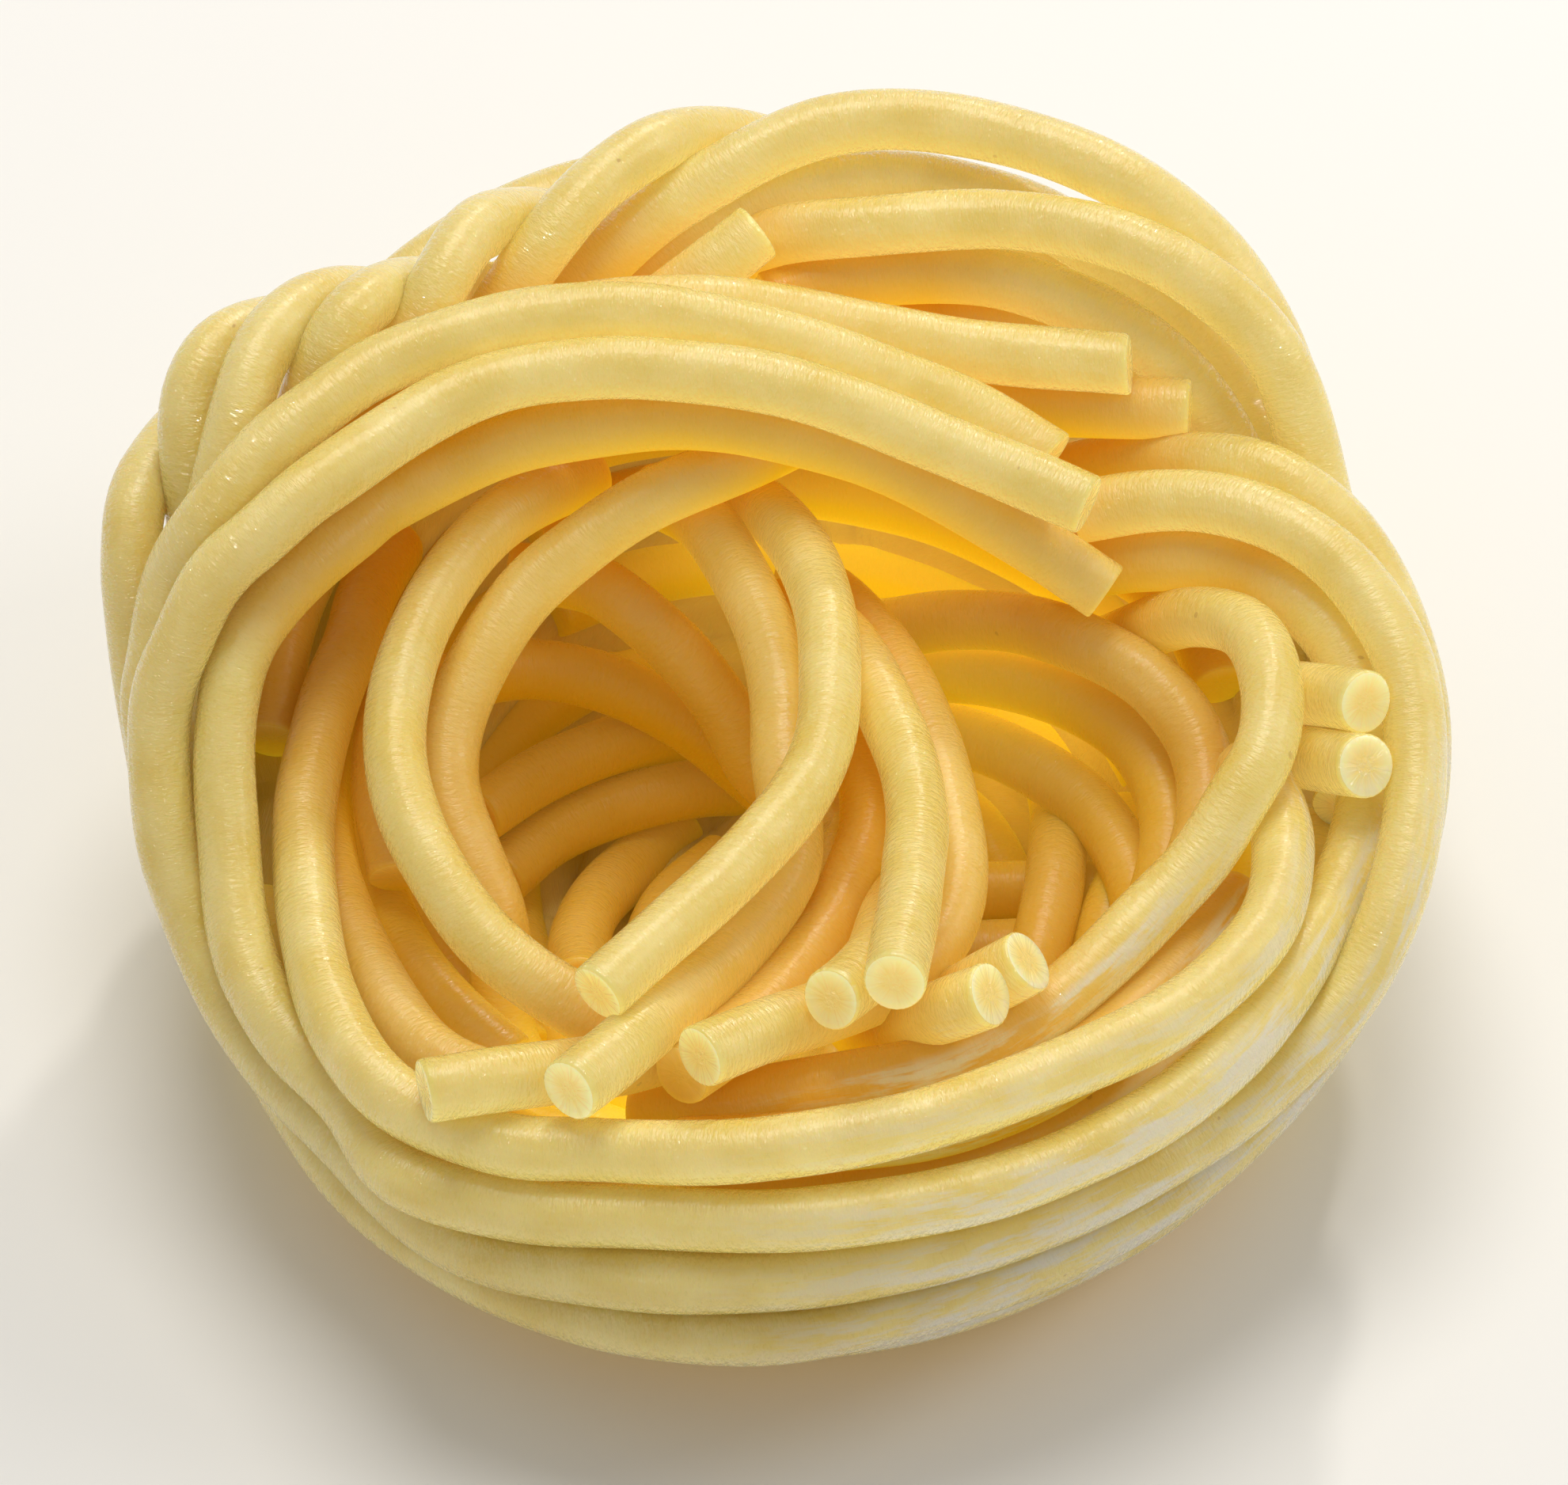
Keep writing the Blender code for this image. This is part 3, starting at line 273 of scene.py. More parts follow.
hollowCurls = {
    "ringLeft": (ringMiddle, [
        (96, 14, 15.2), (111, 11.8, 16.4), (126, 10.4, 16.6), (144, 9.3, 16.4), (163, 8.7, 16),
        (182, 8.5, 15.6), (200, 8.5, 15.2), (218, 8.7, 14.7), (236, 9.3, 14), (252, 10, 13.4),
        (268, 11, 12.8), (279, 11.7, 11.2), (290, 12.4, 9), (300, 13.2, 6.6)]),
    "ringDeep": (ringMiddle, [
        (62, 16, 18), (70, 13, 17.8), (86, 10.7, 17.1), (102, 9.2, 16.3), (118, 8.3, 15.5),
        (138, 7.4, 14.5), (158, 7, 13.4), (178, 6.6, 12.5), (200, 6.1, 11.6), (222, 6.4, 10.3),
        (240, 8.8, 7.6), (256, 10.6, 6.4)]),
    "ringRight": (ringMiddle, [
        (78, 14.6, 13.6), (67, 12.9, 15.3), (52, 10.8, 16.4), (34, 9.1, 16.9), (13, 7.9, 17.1),
        (-8, 7.6, 17), (-28, 7.5, 16.8), (-47, 7.7, 16.6), (-66, 8.6, 16.3), (-80, 10, 16),
        (-92, 12.6, 15.8)]),
    "ringSecond": (ringMiddle, [
        (86, 14.2, 13.8), (76, 12.3, 14.8), (65, 10.1, 15.1), (47, 7.9, 15.2), (25, 6.5, 15),
        (1, 6, 14.5), (-18, 6.6, 14), (-37, 7.8, 13.6), (-58, 9.1, 13.4), (-75, 11, 13.8),
        (-88, 13.6, 14.6), (-96, 16.2, 15.2)]),
    "ringThird": (ringMiddle, [
        (28, 9.4, 10.6), (14, 9.2, 12), (0, 9.5, 12.7), (-16, 10, 12.8), (-33, 10.2, 12.8),
        (-51, 10.7, 12.9), (-67, 11.8, 13.1), (-82, 13.6, 13.6)]),
    "bridgeLeft": (bridgeMiddle, [
        (66.1, 15.9, 10.4), (58.1, 14.5, 12), (48.5, 13.4, 13), (39.4, 12.7, 13.4),
        (28.5, 12.2, 13.5), (16.4, 11.9, 13.4), (3.6, 11.8, 13.3), (-7, 12, 13.2),
        (-15.9, 12.2, 13.2), (-24.8, 12.4, 13.2), (-33.2, 12.5, 13.3), (-40.5, 12.3, 13.4),
        (-48.2, 11.9, 13.7), (-56.1, 11.7, 14), (-62.7, 11.7, 14.3), (-77.2, 12.6, 15)]),
    "bridgeRight": (bridgeMiddle, [
        (62.8, 13.8, 11.6), (54.3, 12.6, 13.2), (44.6, 11.7, 14.4), (33.7, 11, 15),
        (20.9, 10.6, 15.2), (5.4, 10.7, 15.3), (-8.7, 11, 15.3), (-20.9, 11.4, 15.5),
        (-30.7, 12.1, 15.8), (-39.8, 13.1, 16.3), (-47.6, 14.5, 17)]),
    "bridgeEnd": (bridgeMiddle, [
        (7.2, 10.9, 11.6), (-5.9, 10.8, 12.3), (-18.6, 11.2, 13), (-29.3, 11.8, 13.8),
        (-39.3, 12.6, 14.7), (-47, 13, 15.4), (-54.2, 13.5, 16.2)]),
    "endRight1": (nestMiddle, [
        (3, 18.6, 13.8), (1.5, 19.2, 14.4), (-2, 20.6, 15.6), (-5, 21.8, 16.6)]),
    "endRight2": (nestMiddle, [
        (-3.5, 17.9, 12.2), (-6.5, 19.2, 13.4), (-9.5, 20.6, 14.6), (-12, 21.9, 15.8)]),
    "endFront1": (nestMiddle, [
        (-62.9, 16.8, 15.7), (-66.4, 16.1, 14.7), (-70, 15.1, 13.3), (-74.3, 13.9, 11.6),
        (-79.3, 12.6, 9.8)]),
    "endFront2": (nestMiddle, [
        (-58.4, 16.5, 15.9), (-61.8, 15.8, 14.7), (-65, 14.7, 13.1), (-68.6, 13.2, 11.1),
        (-73.2, 11.7, 9.2)]),
    "endLeft": (nestMiddle, [
        (-123.7, 23, 15.3), (-119.3, 21.4, 15.3), (-114.6, 19.8, 15), (-109.4, 18.1, 14.4),
        (-104.5, 16.1, 13.4), (-99.2, 13.7, 12.2)]),
}
hollowFloor = {
    "slope1": (nestMiddle, [
        (82, 9.8, 7.8), (66, 9, 9), (50, 10, 10.2), (35, 11.6, 11.2), (20, 13.3, 12), (9, 14.8, 12.2),
        (-2, 16, 11.8), (-14, 16.3, 11), (-28, 16, 9.8)]),
    "slope2": (nestMiddle, [
        (74, 8.6, 6.6), (56, 8.9, 7.6), (38, 10.1, 8.6), (22, 12, 9.2), (8, 13.8, 9.4), (-6, 14.8, 9),
        (-20, 15, 8.2), (-34, 15.4, 6.2)]),
    "slope3": (nestMiddle, [
        (60, 7.8, 5), (40, 8.8, 5.8), (20, 10.3, 6.4), (4, 12.1, 6.7), (-12, 13.8, 6.8),
        (-27, 15.4, 6.8)]),
    "innerWall1": (ringMiddle, [
        (112, 12.4, 12.2), (98, 11, 12.2), (88, 9.8, 11.6), (76, 8.9, 10.4), (63, 8.2, 8.8),
        (49, 7.7, 6.8), (38, 8.7, 5.4), (28, 9.7, 4.4)]),
    "innerWall2": (ringMiddle, [
        (134, 10.6, 9.8), (115, 10.2, 9), (96, 9.6, 7.8), (78, 9.2, 6.2), (60, 9, 4.6), (44, 9, 3.6)]),
    "floorRight1": (floorRightMiddle, [
        (134, 13.6, 3.2), (118, 12.6, 3.2), (102, 11.8, 3.4), (86, 11.6, 3.6), (68, 11.8, 4.2),
        (52, 12.4, 5)]),
    "floorRight2": (floorRightMiddle, [
        (142, 10.8, 2.8), (124, 10, 2.8), (104, 9.3, 2.9), (84, 9.2, 3.1), (62, 9.6, 3.8),
        (42, 10.4, 4.6)]),
    "floorLeft1": (floorLeftMiddle, [
        (152, 11.4, 4.4), (136, 11.3, 4), (118, 11.1, 3.6), (100, 11, 3.4), (84, 11, 3.2)]),
    "floorLeft2": (floorLeftMiddle, [
        (146, 13, 6), (130, 12.9, 5.4), (114, 12.8, 5), (98, 12.8, 4.8)]),
    "floorFront1": (floorFrontMiddle, [
        (128, 9.9, 2.4), (146, 9.8, 2.8), (164, 9.8, 3.8), (182, 9.9, 5), (200, 10.3, 6.6)]),
    "floorFront2": (floorFrontMiddle, [
        (124, 7.6, 2.2), (146, 7.4, 2.4), (168, 7.2, 3), (190, 7.2, 4.2)]),
}


def throughStations(middle, stations, step):
    # Catmull-Rom curve through (middle + reach (cos a, sin a), height), read at even steps of its length
    turn = np.radians([s[0] for s in stations])
    reach = np.array([s[1] for s in stations])
    points = np.column_stack([
        middle[0] + reach * np.cos(turn), middle[1] + reach * np.sin(turn), [s[2] for s in stations]])
    return evenCurve(points, step)


def evenCurve(points, step):
    # Catmull-Rom: half of (2b + (c-a)t + (2a-5b+4c-d)t^2 + (3b-a-3c+d)t^3) over each span, then even lengths
    ends = np.vstack([2 * points[0] - points[1], points, 2 * points[-1] - points[-2]])
    t = np.linspace(0, 1, 24, endpoint=False)[None, :, None]
    a, b, c, d = (ends[k:len(ends) - 3 + k, None] for k in range(4))
    spans = 0.5 * (2 * b + (c - a) * t + (2 * a - 5 * b + 4 * c - d) * t**2 + (3 * b - a - 3 * c + d) * t**3)
    curve = np.vstack([spans.reshape(-1, 3), points[-1:]])
    along = np.concatenate([[0], np.cumsum(np.linalg.norm(np.diff(curve, axis=0), axis=1))])
    even = np.linspace(0, along[-1], max(4, round(along[-1] / step)) + 1)
    return np.column_stack([np.interp(even, along, curve[:, k]) for k in range(3)])


def settleStrands(lines, shown):
    # pushes apart points nearer than a strand's width: shown pairs mostly along the line of sight, hidden
    # ones straight away; each round the moves are smoothed 1-2-1 along the strand, as a stiff rod gives way
    points = np.vstack(lines)
    owner = np.repeat(np.arange(len(lines)), [len(line) for line in lines])
    place = np.concatenate([np.arange(len(line)) for line in lines])
    apart = (owner[:, None] != owner[None]) | (np.abs(place[:, None] - place[None]) > strand["stiff"])
    seen = np.array(shown)[owner]
    starts = np.cumsum([0] + [len(line) for line in lines])
    rise = math.radians(strand["sightRise"])
    sight = np.array([0, -math.cos(rise), math.sin(rise)])
    width = strand["touching"]
    moved = np.zeros_like(points)
    for _ in range(strand["settleRounds"]):
        now = points + moved
        square = (now**2).sum(axis=1)
        near = (square[:, None] + square[None] - 2 * now @ now.T < width**2) & apart
        first, second = np.nonzero(near)
        gap = now[first] - now[second]
        length = np.maximum(np.linalg.norm(gap, axis=1), 0.01)
        depth = gap @ sight
        beside = np.sqrt(np.maximum(length**2 - depth**2, 0))
        needed = np.sqrt(np.maximum(width**2 - beside**2, 0)) - np.abs(depth)
        along = sight * (np.where(depth < 0, -1, 1) * needed)[:, None]
        both = seen[first] & seen[second]
        away = gap * ((width - length) / length)[:, None]
        step = np.where(both[:, None], along * strand["sightPush"] + away * strand["shownPush"],
                        away * strand["hiddenPush"])
        step[seen[first] & ~seen[second]] = 0
        total = np.zeros_like(points)
        np.add.at(total, first, step)
        moved += total / np.maximum(np.bincount(first, minlength=len(points)), 1)[:, None] ** 0.5
        for a, b in zip(starts[:-1], starts[1:]):
            line = moved[a:b]
            padded = np.vstack([line[:1], line, line[-1:]])
            moved[a:b] = 0.25 * padded[:-2] + 0.5 * line + 0.25 * padded[2:]
        now = points + moved
        moved[:, 2] += np.maximum(strand["wallFoot"] - now[:, 2], 0)
        reach = np.hypot(now[:, 0], now[:, 1])
        outside = np.where(seen, 0, np.maximum(reach - strand["wallLimit"], 0))
        moved[:, :2] -= now[:, :2] * (outside / reach)[:, None]
    now = points + moved
    now[:, :2] += strand["centreShift"]
    return [now[a:b] for a, b in zip(starts[:-1], starts[1:])]


cutEnd = {
    # (share of the radius, how far in from the cut) of the rings from the face's middle over its soft edge
    "rings": [(0.35, 0.035), (0.72, 0.02), (0.93, 0.0), (0.985, 0.06), (1.0, 0.16)],
    "face": 0.95,            # the rings inside this share of the radius are on the face
    "dish": 0.04,            # how far in the middle of the face is
    "mostSkew": 0.12,        # how far a cut is off square, as a slope
}


def tubeGrid(line, draw):
    # point(s, v) = line(s) + radius(s, v) (n cos v + b sin v); each end is drawn in to a cut face, which is
    # lower at its middle; n and b come from the plane that the strand lies nearest to
    ahead = np.gradient(line, axis=0)
    ahead /= np.linalg.norm(ahead, axis=1)[:, None]
    across = np.linalg.eigh(ahead.T @ ahead)[1][:, 0]
    n = np.cross(ahead, across)
    n /= np.linalg.norm(n, axis=1)[:, None]
    b = np.cross(ahead, n)
    along = np.concatenate([[0], np.cumsum(np.linalg.norm(np.diff(line, axis=0), axis=1))])
    v = np.arange(strand["sides"]) * 2 * math.pi / strand["sides"]
    s = along[:, None]
    turns = draw.uniform(0, 2 * math.pi, 4)
    uneven = sum(share * np.sin(s / length + ripples * v + start)
                 for (share, length, ripples), start in zip(strand["waves"], turns))
    uneven = uneven + strand["flat"][0] * np.cos(2 * v + s / strand["flat"][1] + turns[3])
    radius = strand["radius"] * (1 + uneven)
    round0 = n[:, None] * np.cos(v)[None, :, None] + b[:, None] * np.sin(v)[None, :, None]
    body = line[:, None] + radius[..., None] * round0
    share, inwards = np.array(cutEnd["rings"]).T
    caps = []
    for k, way in ((0, 1.0), (-1, -1.0)):
        skew = draw.uniform(-1, 1, 2) * cutEnd["mostSkew"]
        edge = radius[k][None, :] * share[:, None]
        lean = inwards[:, None] + edge * (skew[0] * np.cos(v) + skew[1] * np.sin(v))[None, :]
        caps.append(line[k] + edge[..., None] * round0[k] + way * lean[..., None] * ahead[k])
    rings = len(share)
    grid = np.concatenate([caps[0], body[1:-1], caps[1][::-1]])
    length = np.concatenate([np.full(rings, along[0]), along[1:-1], np.full(rings, along[-1])])
    face = np.where(share < cutEnd["face"], 1 - share, -1)
    cut = np.concatenate([face, np.full(len(body) - 2, -1.0), face[::-1]])
    middles = np.array([line[0] + cutEnd["dish"] * ahead[0], line[-1] - cutEnd["dish"] * ahead[-1]])
    return grid, length, cut, middles, v


def strandPiece(name, lines, draw):
    # every tube of one kind as one mesh: quads along each tube, and a fan of triangles on each cut face
    points, quads, fans, places, cuts, hidden = [], [], [], [], [], []
    first = 0
    sides = strand["sides"]
    for line in lines:
        fine = evenCurve(line, strand["ringStep"])
        grid, length, cut, middles, v = tubeGrid(fine, draw)
        rings = len(grid)
        deep = np.interp(length, np.arange(len(fine)) * length[-1] / (len(fine) - 1), shelterOf(fine))
        quads.append(first + gridQuads(rings, sides))
        s = np.arange(sides)
        n = (s + 1) % sides
        low = first + rings * sides
        last = first + (rings - 1) * sides
        fans.append(np.column_stack([np.full(sides, low), first + n, first + s]))
        fans.append(np.column_stack([np.full(sides, low + 1), last + s, last + n]))
        points += [grid.reshape(-1, 3), middles]
        offset = draw.uniform(0, strand["patternLength"])
        ring = np.stack([np.repeat(length[:, None], sides, 1) + offset,
                         np.repeat(strand["radius"] * np.cos(v)[None], rings, 0),
                         np.repeat(strand["radius"] * np.sin(v)[None], rings, 0)], -1)
        places += [ring.reshape(-1, 3), np.array([[offset, 0, 0], [length[-1] + offset, 0, 0]])]
        cuts += [np.repeat(cut, sides), np.ones(2)]
        # painted shade share of each vertex: the ring's shelter, less towards the strand's top
        up = (grid[..., 2] - grid[..., 2].mean(axis=1, keepdims=True)) / strand["radius"]
        hidden += [(deep[:, None] * (1 - shelter["topLess"] * up)).ravel(), deep[[0, -1]]]
        first = low + 2
    points = np.vstack(points)
    made = makeMesh(name, points, [np.vstack(quads), np.vstack(fans)])
    addVector(made.data, "strandPlace", np.vstack(places))
    addNumber(made.data, "cutFace", np.concatenate(cuts))
    addNumber(made.data, "shelter", np.clip(np.concatenate(hidden), 0, 1))
    addNumber(made.data, "glow", glowOf(points))
    return made


def gridQuads(rings, sides):
    # the corners of the quads between rings r and r + 1, where point s of ring r is number r sides + s
    r, s = np.meshgrid(np.arange(rings - 1), np.arange(sides), indexing="ij")
    n = (s + 1) % sides
    return np.stack([r * sides + s, r * sides + n, (r + 1) * sides + n, (r + 1) * sides + s], -1).reshape(-1, 4)


def makeMesh(name, points, faceGroups):
    mesh = bpy.data.meshes.new(name)
    mesh.vertices.add(len(points))
    mesh.vertices.foreach_set("co", (points * mm).astype(np.float32).ravel())
    corners = np.concatenate([f.ravel() for f in faceGroups]).astype(np.int32)
    sizes = np.concatenate([np.full(len(f), f.shape[1]) for f in faceGroups])
    mesh.loops.add(len(corners))
    mesh.loops.foreach_set("vertex_index", corners)
    mesh.polygons.add(len(sizes))
    mesh.polygons.foreach_set("loop_start", np.concatenate([[0], np.cumsum(sizes)[:-1]]).astype(np.int32))
    mesh.update(calc_edges=True)
    mesh.shade_smooth()
    made = bpy.data.objects.new(name, mesh)
    bpy.context.scene.collection.objects.link(made)
    return made


def addNumber(mesh, name, values):
    mesh.attributes.new(name, "FLOAT", "POINT").data.foreach_set("value", values.astype(np.float32))


def addVector(mesh, name, values):
    made = mesh.attributes.new(name, "FLOAT_VECTOR", "POINT")
    made.data.foreach_set("vector", values.astype(np.float32).ravel())


shelter = {
    "directions": 24,        # rays over the sky
    "lowest": 0.15,          # sine of the lowest ray's rise
    "from": 2.2,             # nearest and farthest strand that shades a place
    "to": 22.0,
    "beside": 1.5,           # how near a strand's middle passes a ray that it blocks
    "smoothing": 9,          # rings
    "openReach": 22.3,       # strands out here lie open to the sides
    "openFade": 3.0,
    "topLess": 0.18,         # how much less painted shade the top of a strand gets than its middle
}


def shelterOf(line):
    # share of the sky's directions that another strand blocks, as a moving mean along the strand, down to
    # none on the strands that lie outermost; the rays are a golden angle apart, each a step higher
    k = np.arange(shelter["directions"]) + 0.5
    rise = np.arcsin(shelter["lowest"] + (1 - shelter["lowest"]) * k / shelter["directions"])
    turn = k * math.pi * (3 - math.sqrt(5))
    rays = np.column_stack([np.cos(rise) * np.cos(turn), np.cos(rise) * np.sin(turn), np.sin(rise)])
    gap = solidPoints[None, ::2] - line[:, None]
    square = (gap**2).sum(-1)
    blocked = np.zeros(len(line))
    for ray in rays:
        ahead = gap @ ray
        near = (ahead > shelter["from"]) & (ahead < shelter["to"])
        hit = near & (square - ahead**2 < shelter["beside"] ** 2)
        blocked += hit.any(axis=1) / len(rays)
    half = shelter["smoothing"] // 2
    summed = np.concatenate([[0], np.cumsum(np.pad(blocked, half, mode="edge"))])
    mean = (summed[shelter["smoothing"]:] - summed[:-shelter["smoothing"]]) / shelter["smoothing"]
    reach = np.hypot(line[:, 0], line[:, 1])
    return mean * np.clip((shelter["openReach"] - reach) / shelter["openFade"], 0, 1)


glowPlaces = {
    "least": 0.3,
    # where light gets in from behind: (x, y, half width along x, half width along y, strength)
    "spots": [
        (2.0, 15.0, 7.0, 5.0, 1.5),
        (10.5, 8.5, 6.0, 5.0, 1.1),
        (-1.0, -13.0, 9.0, 4.0, 1.6),
        (-20.0, 0.0, 4.0, 12.0, 1.0),
        (20.0, 0.0, 4.0, 10.0, 1.0),
    ],
    "top": 12.5,             # it ends at this height, over the fade below it
    "fade": 4.0,
}


def glowOf(points):
    # a least share and a bell over the plan about each spot, strength exp(-(dx / width)^2 - (dy / depth)^2),
    # down to nothing at the top
    total = np.full(len(points), glowPlaces["least"])
    for x, y, width, depth, strength in glowPlaces["spots"]:
        total += strength * np.exp(-((points[:, 0] - x) / width) ** 2 - ((points[:, 1] - y) / depth) ** 2)
    return total * np.clip((glowPlaces["top"] - points[:, 2]) / glowPlaces["fade"], 0, 1)


core = {
    "floorTop": 2.0,         # under the hollows
    "rimFront": 8.5,
    "rimBack": 15.0,
    "hollowReach": 10.5,     # where the hollow's floor turns up into its wall
    "steeper": 2.4,          # it turns up this much nearer the middle at the steeperTurn, at the back left
    "steeperTurn": 130,
    "rimReach": 19.0,
    "ridgeTop": 10.6,
    "ridgeHalfWidth": 2.3,
    "ridgeX": 1.9,
    "ridgeBack": (6.0, 11.5),   # it falls away between these, towards the back
    "skin": 1.15,            # how far the wall's windings stand out of the core
    "lip": 0.8,              # how much lower the rim's outer edge is
    "footShare": 0.09,       # the wall's foot, as a share of the rim's height
    "under": (14.5, 0.55),   # (reach, height) where the foot turns under
    "baseReach": 12.0,
    "groove": 0.5,           # depth of the grooves between its packed strands
    "grooveApart": 2.4,
    "middleReach": [0.6, 1.0],   # first ring inside the bowl, last ring underneath
    "angles": 300,
    "insideRings": 46,
    "outsideRings": 34,
    # painted shade share of the core inside the rim
    "shelter": 0.52,
}


def coreTop(reach, turn):
    # floor + (rim - floor) (3c^2 - 2c^3) over the climb c, or the bell-shaped ridge where that is higher
    rim = core["rimFront"] + (core["rimBack"] - core["rimFront"]) * (0.5 + 0.5 * np.sin(turn)) ** 2
    steeper = np.maximum(0.0, np.cos(turn - math.radians(core["steeperTurn"])))
    inner = core["hollowReach"] - core["steeper"] * steeper
    climb = np.clip((reach - inner) / (core["rimReach"] - inner), 0, 1)
    height = core["floorTop"] + (rim - core["floorTop"]) * climb**2 * (3 - 2 * climb)
    ridge = core["floorTop"] + (core["ridgeTop"] - core["floorTop"]) * np.exp(
        -((reach * np.cos(turn) - core["ridgeX"]) / core["ridgeHalfWidth"]) ** 2)
    ridge *= 1 - ease(reach * np.sin(turn), *core["ridgeBack"])
    return np.maximum(height, ridge)


def bundleCore():
    # the profile from the middle of the bowl over the rim to the flat spot, turned through every angle, with
    # grooves of |sin| a strand apart along its length
    turn = np.linspace(0, 2 * math.pi, core["angles"], endpoint=False)[None]
    reach = np.linspace(core["middleReach"][0], core["rimReach"], core["insideRings"])[:, None]
    inside = np.stack([np.broadcast_to(reach, (core["insideRings"], core["angles"])), coreTop(reach, turn)], -1)
    rim = coreTop(core["rimReach"], turn)
    share = np.linspace(1.0, core["footShare"], core["outsideRings"])[:, None]
    height = rim * share
    outside = np.stack([wallReach(np.degrees(turn), height) - core["skin"],
                        height - core["lip"] * (share == 1)], -1)
    under = np.broadcast_to(core["under"], (1, core["angles"], 2))
    profile = np.concatenate([inside, outside, under])
    run = np.concatenate([np.zeros((1, core["angles"])),
                          np.cumsum(np.linalg.norm(np.diff(profile, axis=0), axis=-1), axis=0)])
    slope = np.gradient(profile, axis=0)
    slope /= np.linalg.norm(slope, axis=-1)[..., None]
    out = np.stack([-slope[..., 1], slope[..., 0]], -1)
    swayed = run + 1.1 * np.sin(2 * turn + 0.6) + 0.6 * np.sin(3 * turn)
    wave = np.abs(np.sin(math.pi * swayed / core["grooveApart"])) - 1
    profile = profile + out * (core["groove"] * wave)[..., None]
    base = np.zeros((2, core["angles"], 2))
    base[..., 0] = [[core["baseReach"]], [core["middleReach"][1]]]
    profile = np.concatenate([profile, base])
    points = np.stack([profile[..., 0] * np.cos(turn), profile[..., 0] * np.sin(turn), profile[..., 1]], -1)
    points[..., :2] += strand["centreShift"]
    rings, sides = points.shape[:2]
    s = np.arange(sides)
    n = (s + 1) % sides
    last = (rings - 1) * sides
    middles = np.array([[*strand["centreShift"], profile[0, 0, 1]], [*strand["centreShift"], 0.0]])
    fans = np.vstack([np.column_stack([np.full(sides, rings * sides), s, n]),
                      np.column_stack([np.full(sides, rings * sides + 1), last + n, last + s])])
    points = np.vstack([points.reshape(-1, 3), middles])
    made = makeMesh("bundleCore", points, [gridQuads(rings, sides)[:, [0, 3, 2, 1]], fans])
    reach = np.hypot(points[:, 0], points[:, 1])
    angle = np.arctan2(points[:, 1], points[:, 0])
    addVector(made.data, "strandPlace", np.column_stack([angle * reach, reach, points[:, 2]]))
    addNumber(made.data, "cutFace", np.full(len(points), -1.0))
    inside = np.clip((core["rimReach"] + 0.5 - reach) / 2, 0, 1)
    # painted shade: the core inside the rim takes a fixed shelter share above its foot
    addNumber(made.data, "shelter", core["shelter"] * inside * np.clip(points[:, 2] - 1, 0, 1))
    addNumber(made.data, "glow", glowOf(points))
    return made


def linear(code, alpha=1.0):
    # sRGB hex to linear: c / 12.92 below 0.04045, else ((c + 0.055) / 1.055) ^ 2.4
    shown = [int(code[k:k + 2], 16) / 255 for k in (1, 3, 5)]
    return tuple(c / 12.92 if c <= 0.04045 else ((c + 0.055) / 1.055) ** 2.4 for c in shown) + (alpha,)


def addNode(tree, kind, values=None, links=None, **settings):
    # adds a node, sets its own settings, its sockets' values and the links into its sockets
    node = tree.nodes.new(kind)
    for key, value in settings.items():
        setattr(node, key, value)
    for key, value in (values or {}).items():
        node.inputs[key].default_value = value
    for key, source in (links or {}).items():
        tree.links.new(source, node.inputs[key])
    return node


# Dried durum wheat pasta: extruded through a bronze die, so its skin is finely rough, and dried until it is
# glassy. Light goes about a millimetre into it; its amber glow where strands lie deep, from light through the
# bundle from behind, is painted shade and painted glow in the colour and emission. The skin is softly glossy
# and its wrinkles catch the light.
driedPasta = {
    "skin": "#ecda90",
    "body": "#dfc45c",
    "deep": "#f0d020",       # painted glow in the colour, where light comes only through other strands
    "deepDark": "#dc9806",   # and painted shade where hardly any of it comes
    "through": "#ffee88",    # the light that one strand lets through to its shaded side
    "glow": "#ffde28",       # the light that those strands let through
    "glowStrength": 0.24,
    "cutRim": "#faf0bc",
    "cutMiddle": "#f4dc84",
    "starch": "#dfd7c2",     # dry flour on the rubbed outer strands
    "speck": "#a8742c",
    # the skin's wrinkles lie across the strand: their spacing, drawn as coarse as it shows, and their length
    "grainMm": 0.17,
    "wrinkleMm": 0.5,
    "mottleMm": 2.6,
    "coatDepth": 0.0004,     # heights of the bumps, in metres: of the gloss, the skin and its drawn ridges
    "skinDepth": 0.00009,
    "ridgeDepth": 0.00014,
    "roughness": 0.30,
    "coatRoughness": 0.09,
    "coat": (0.95, 0.1),     # on strands in the open and on sheltered ones, and so are the highlights; weaker gloss in shelter is painted shade
    "highlights": (0.5, 0.15),
    "lightReach": (1.0, 0.7, 0.25),   # how far red, green and blue light goes in, as shares of the scale
    "lightScale": 0.0014,    # metres
    "lightShare": 0.85,
}


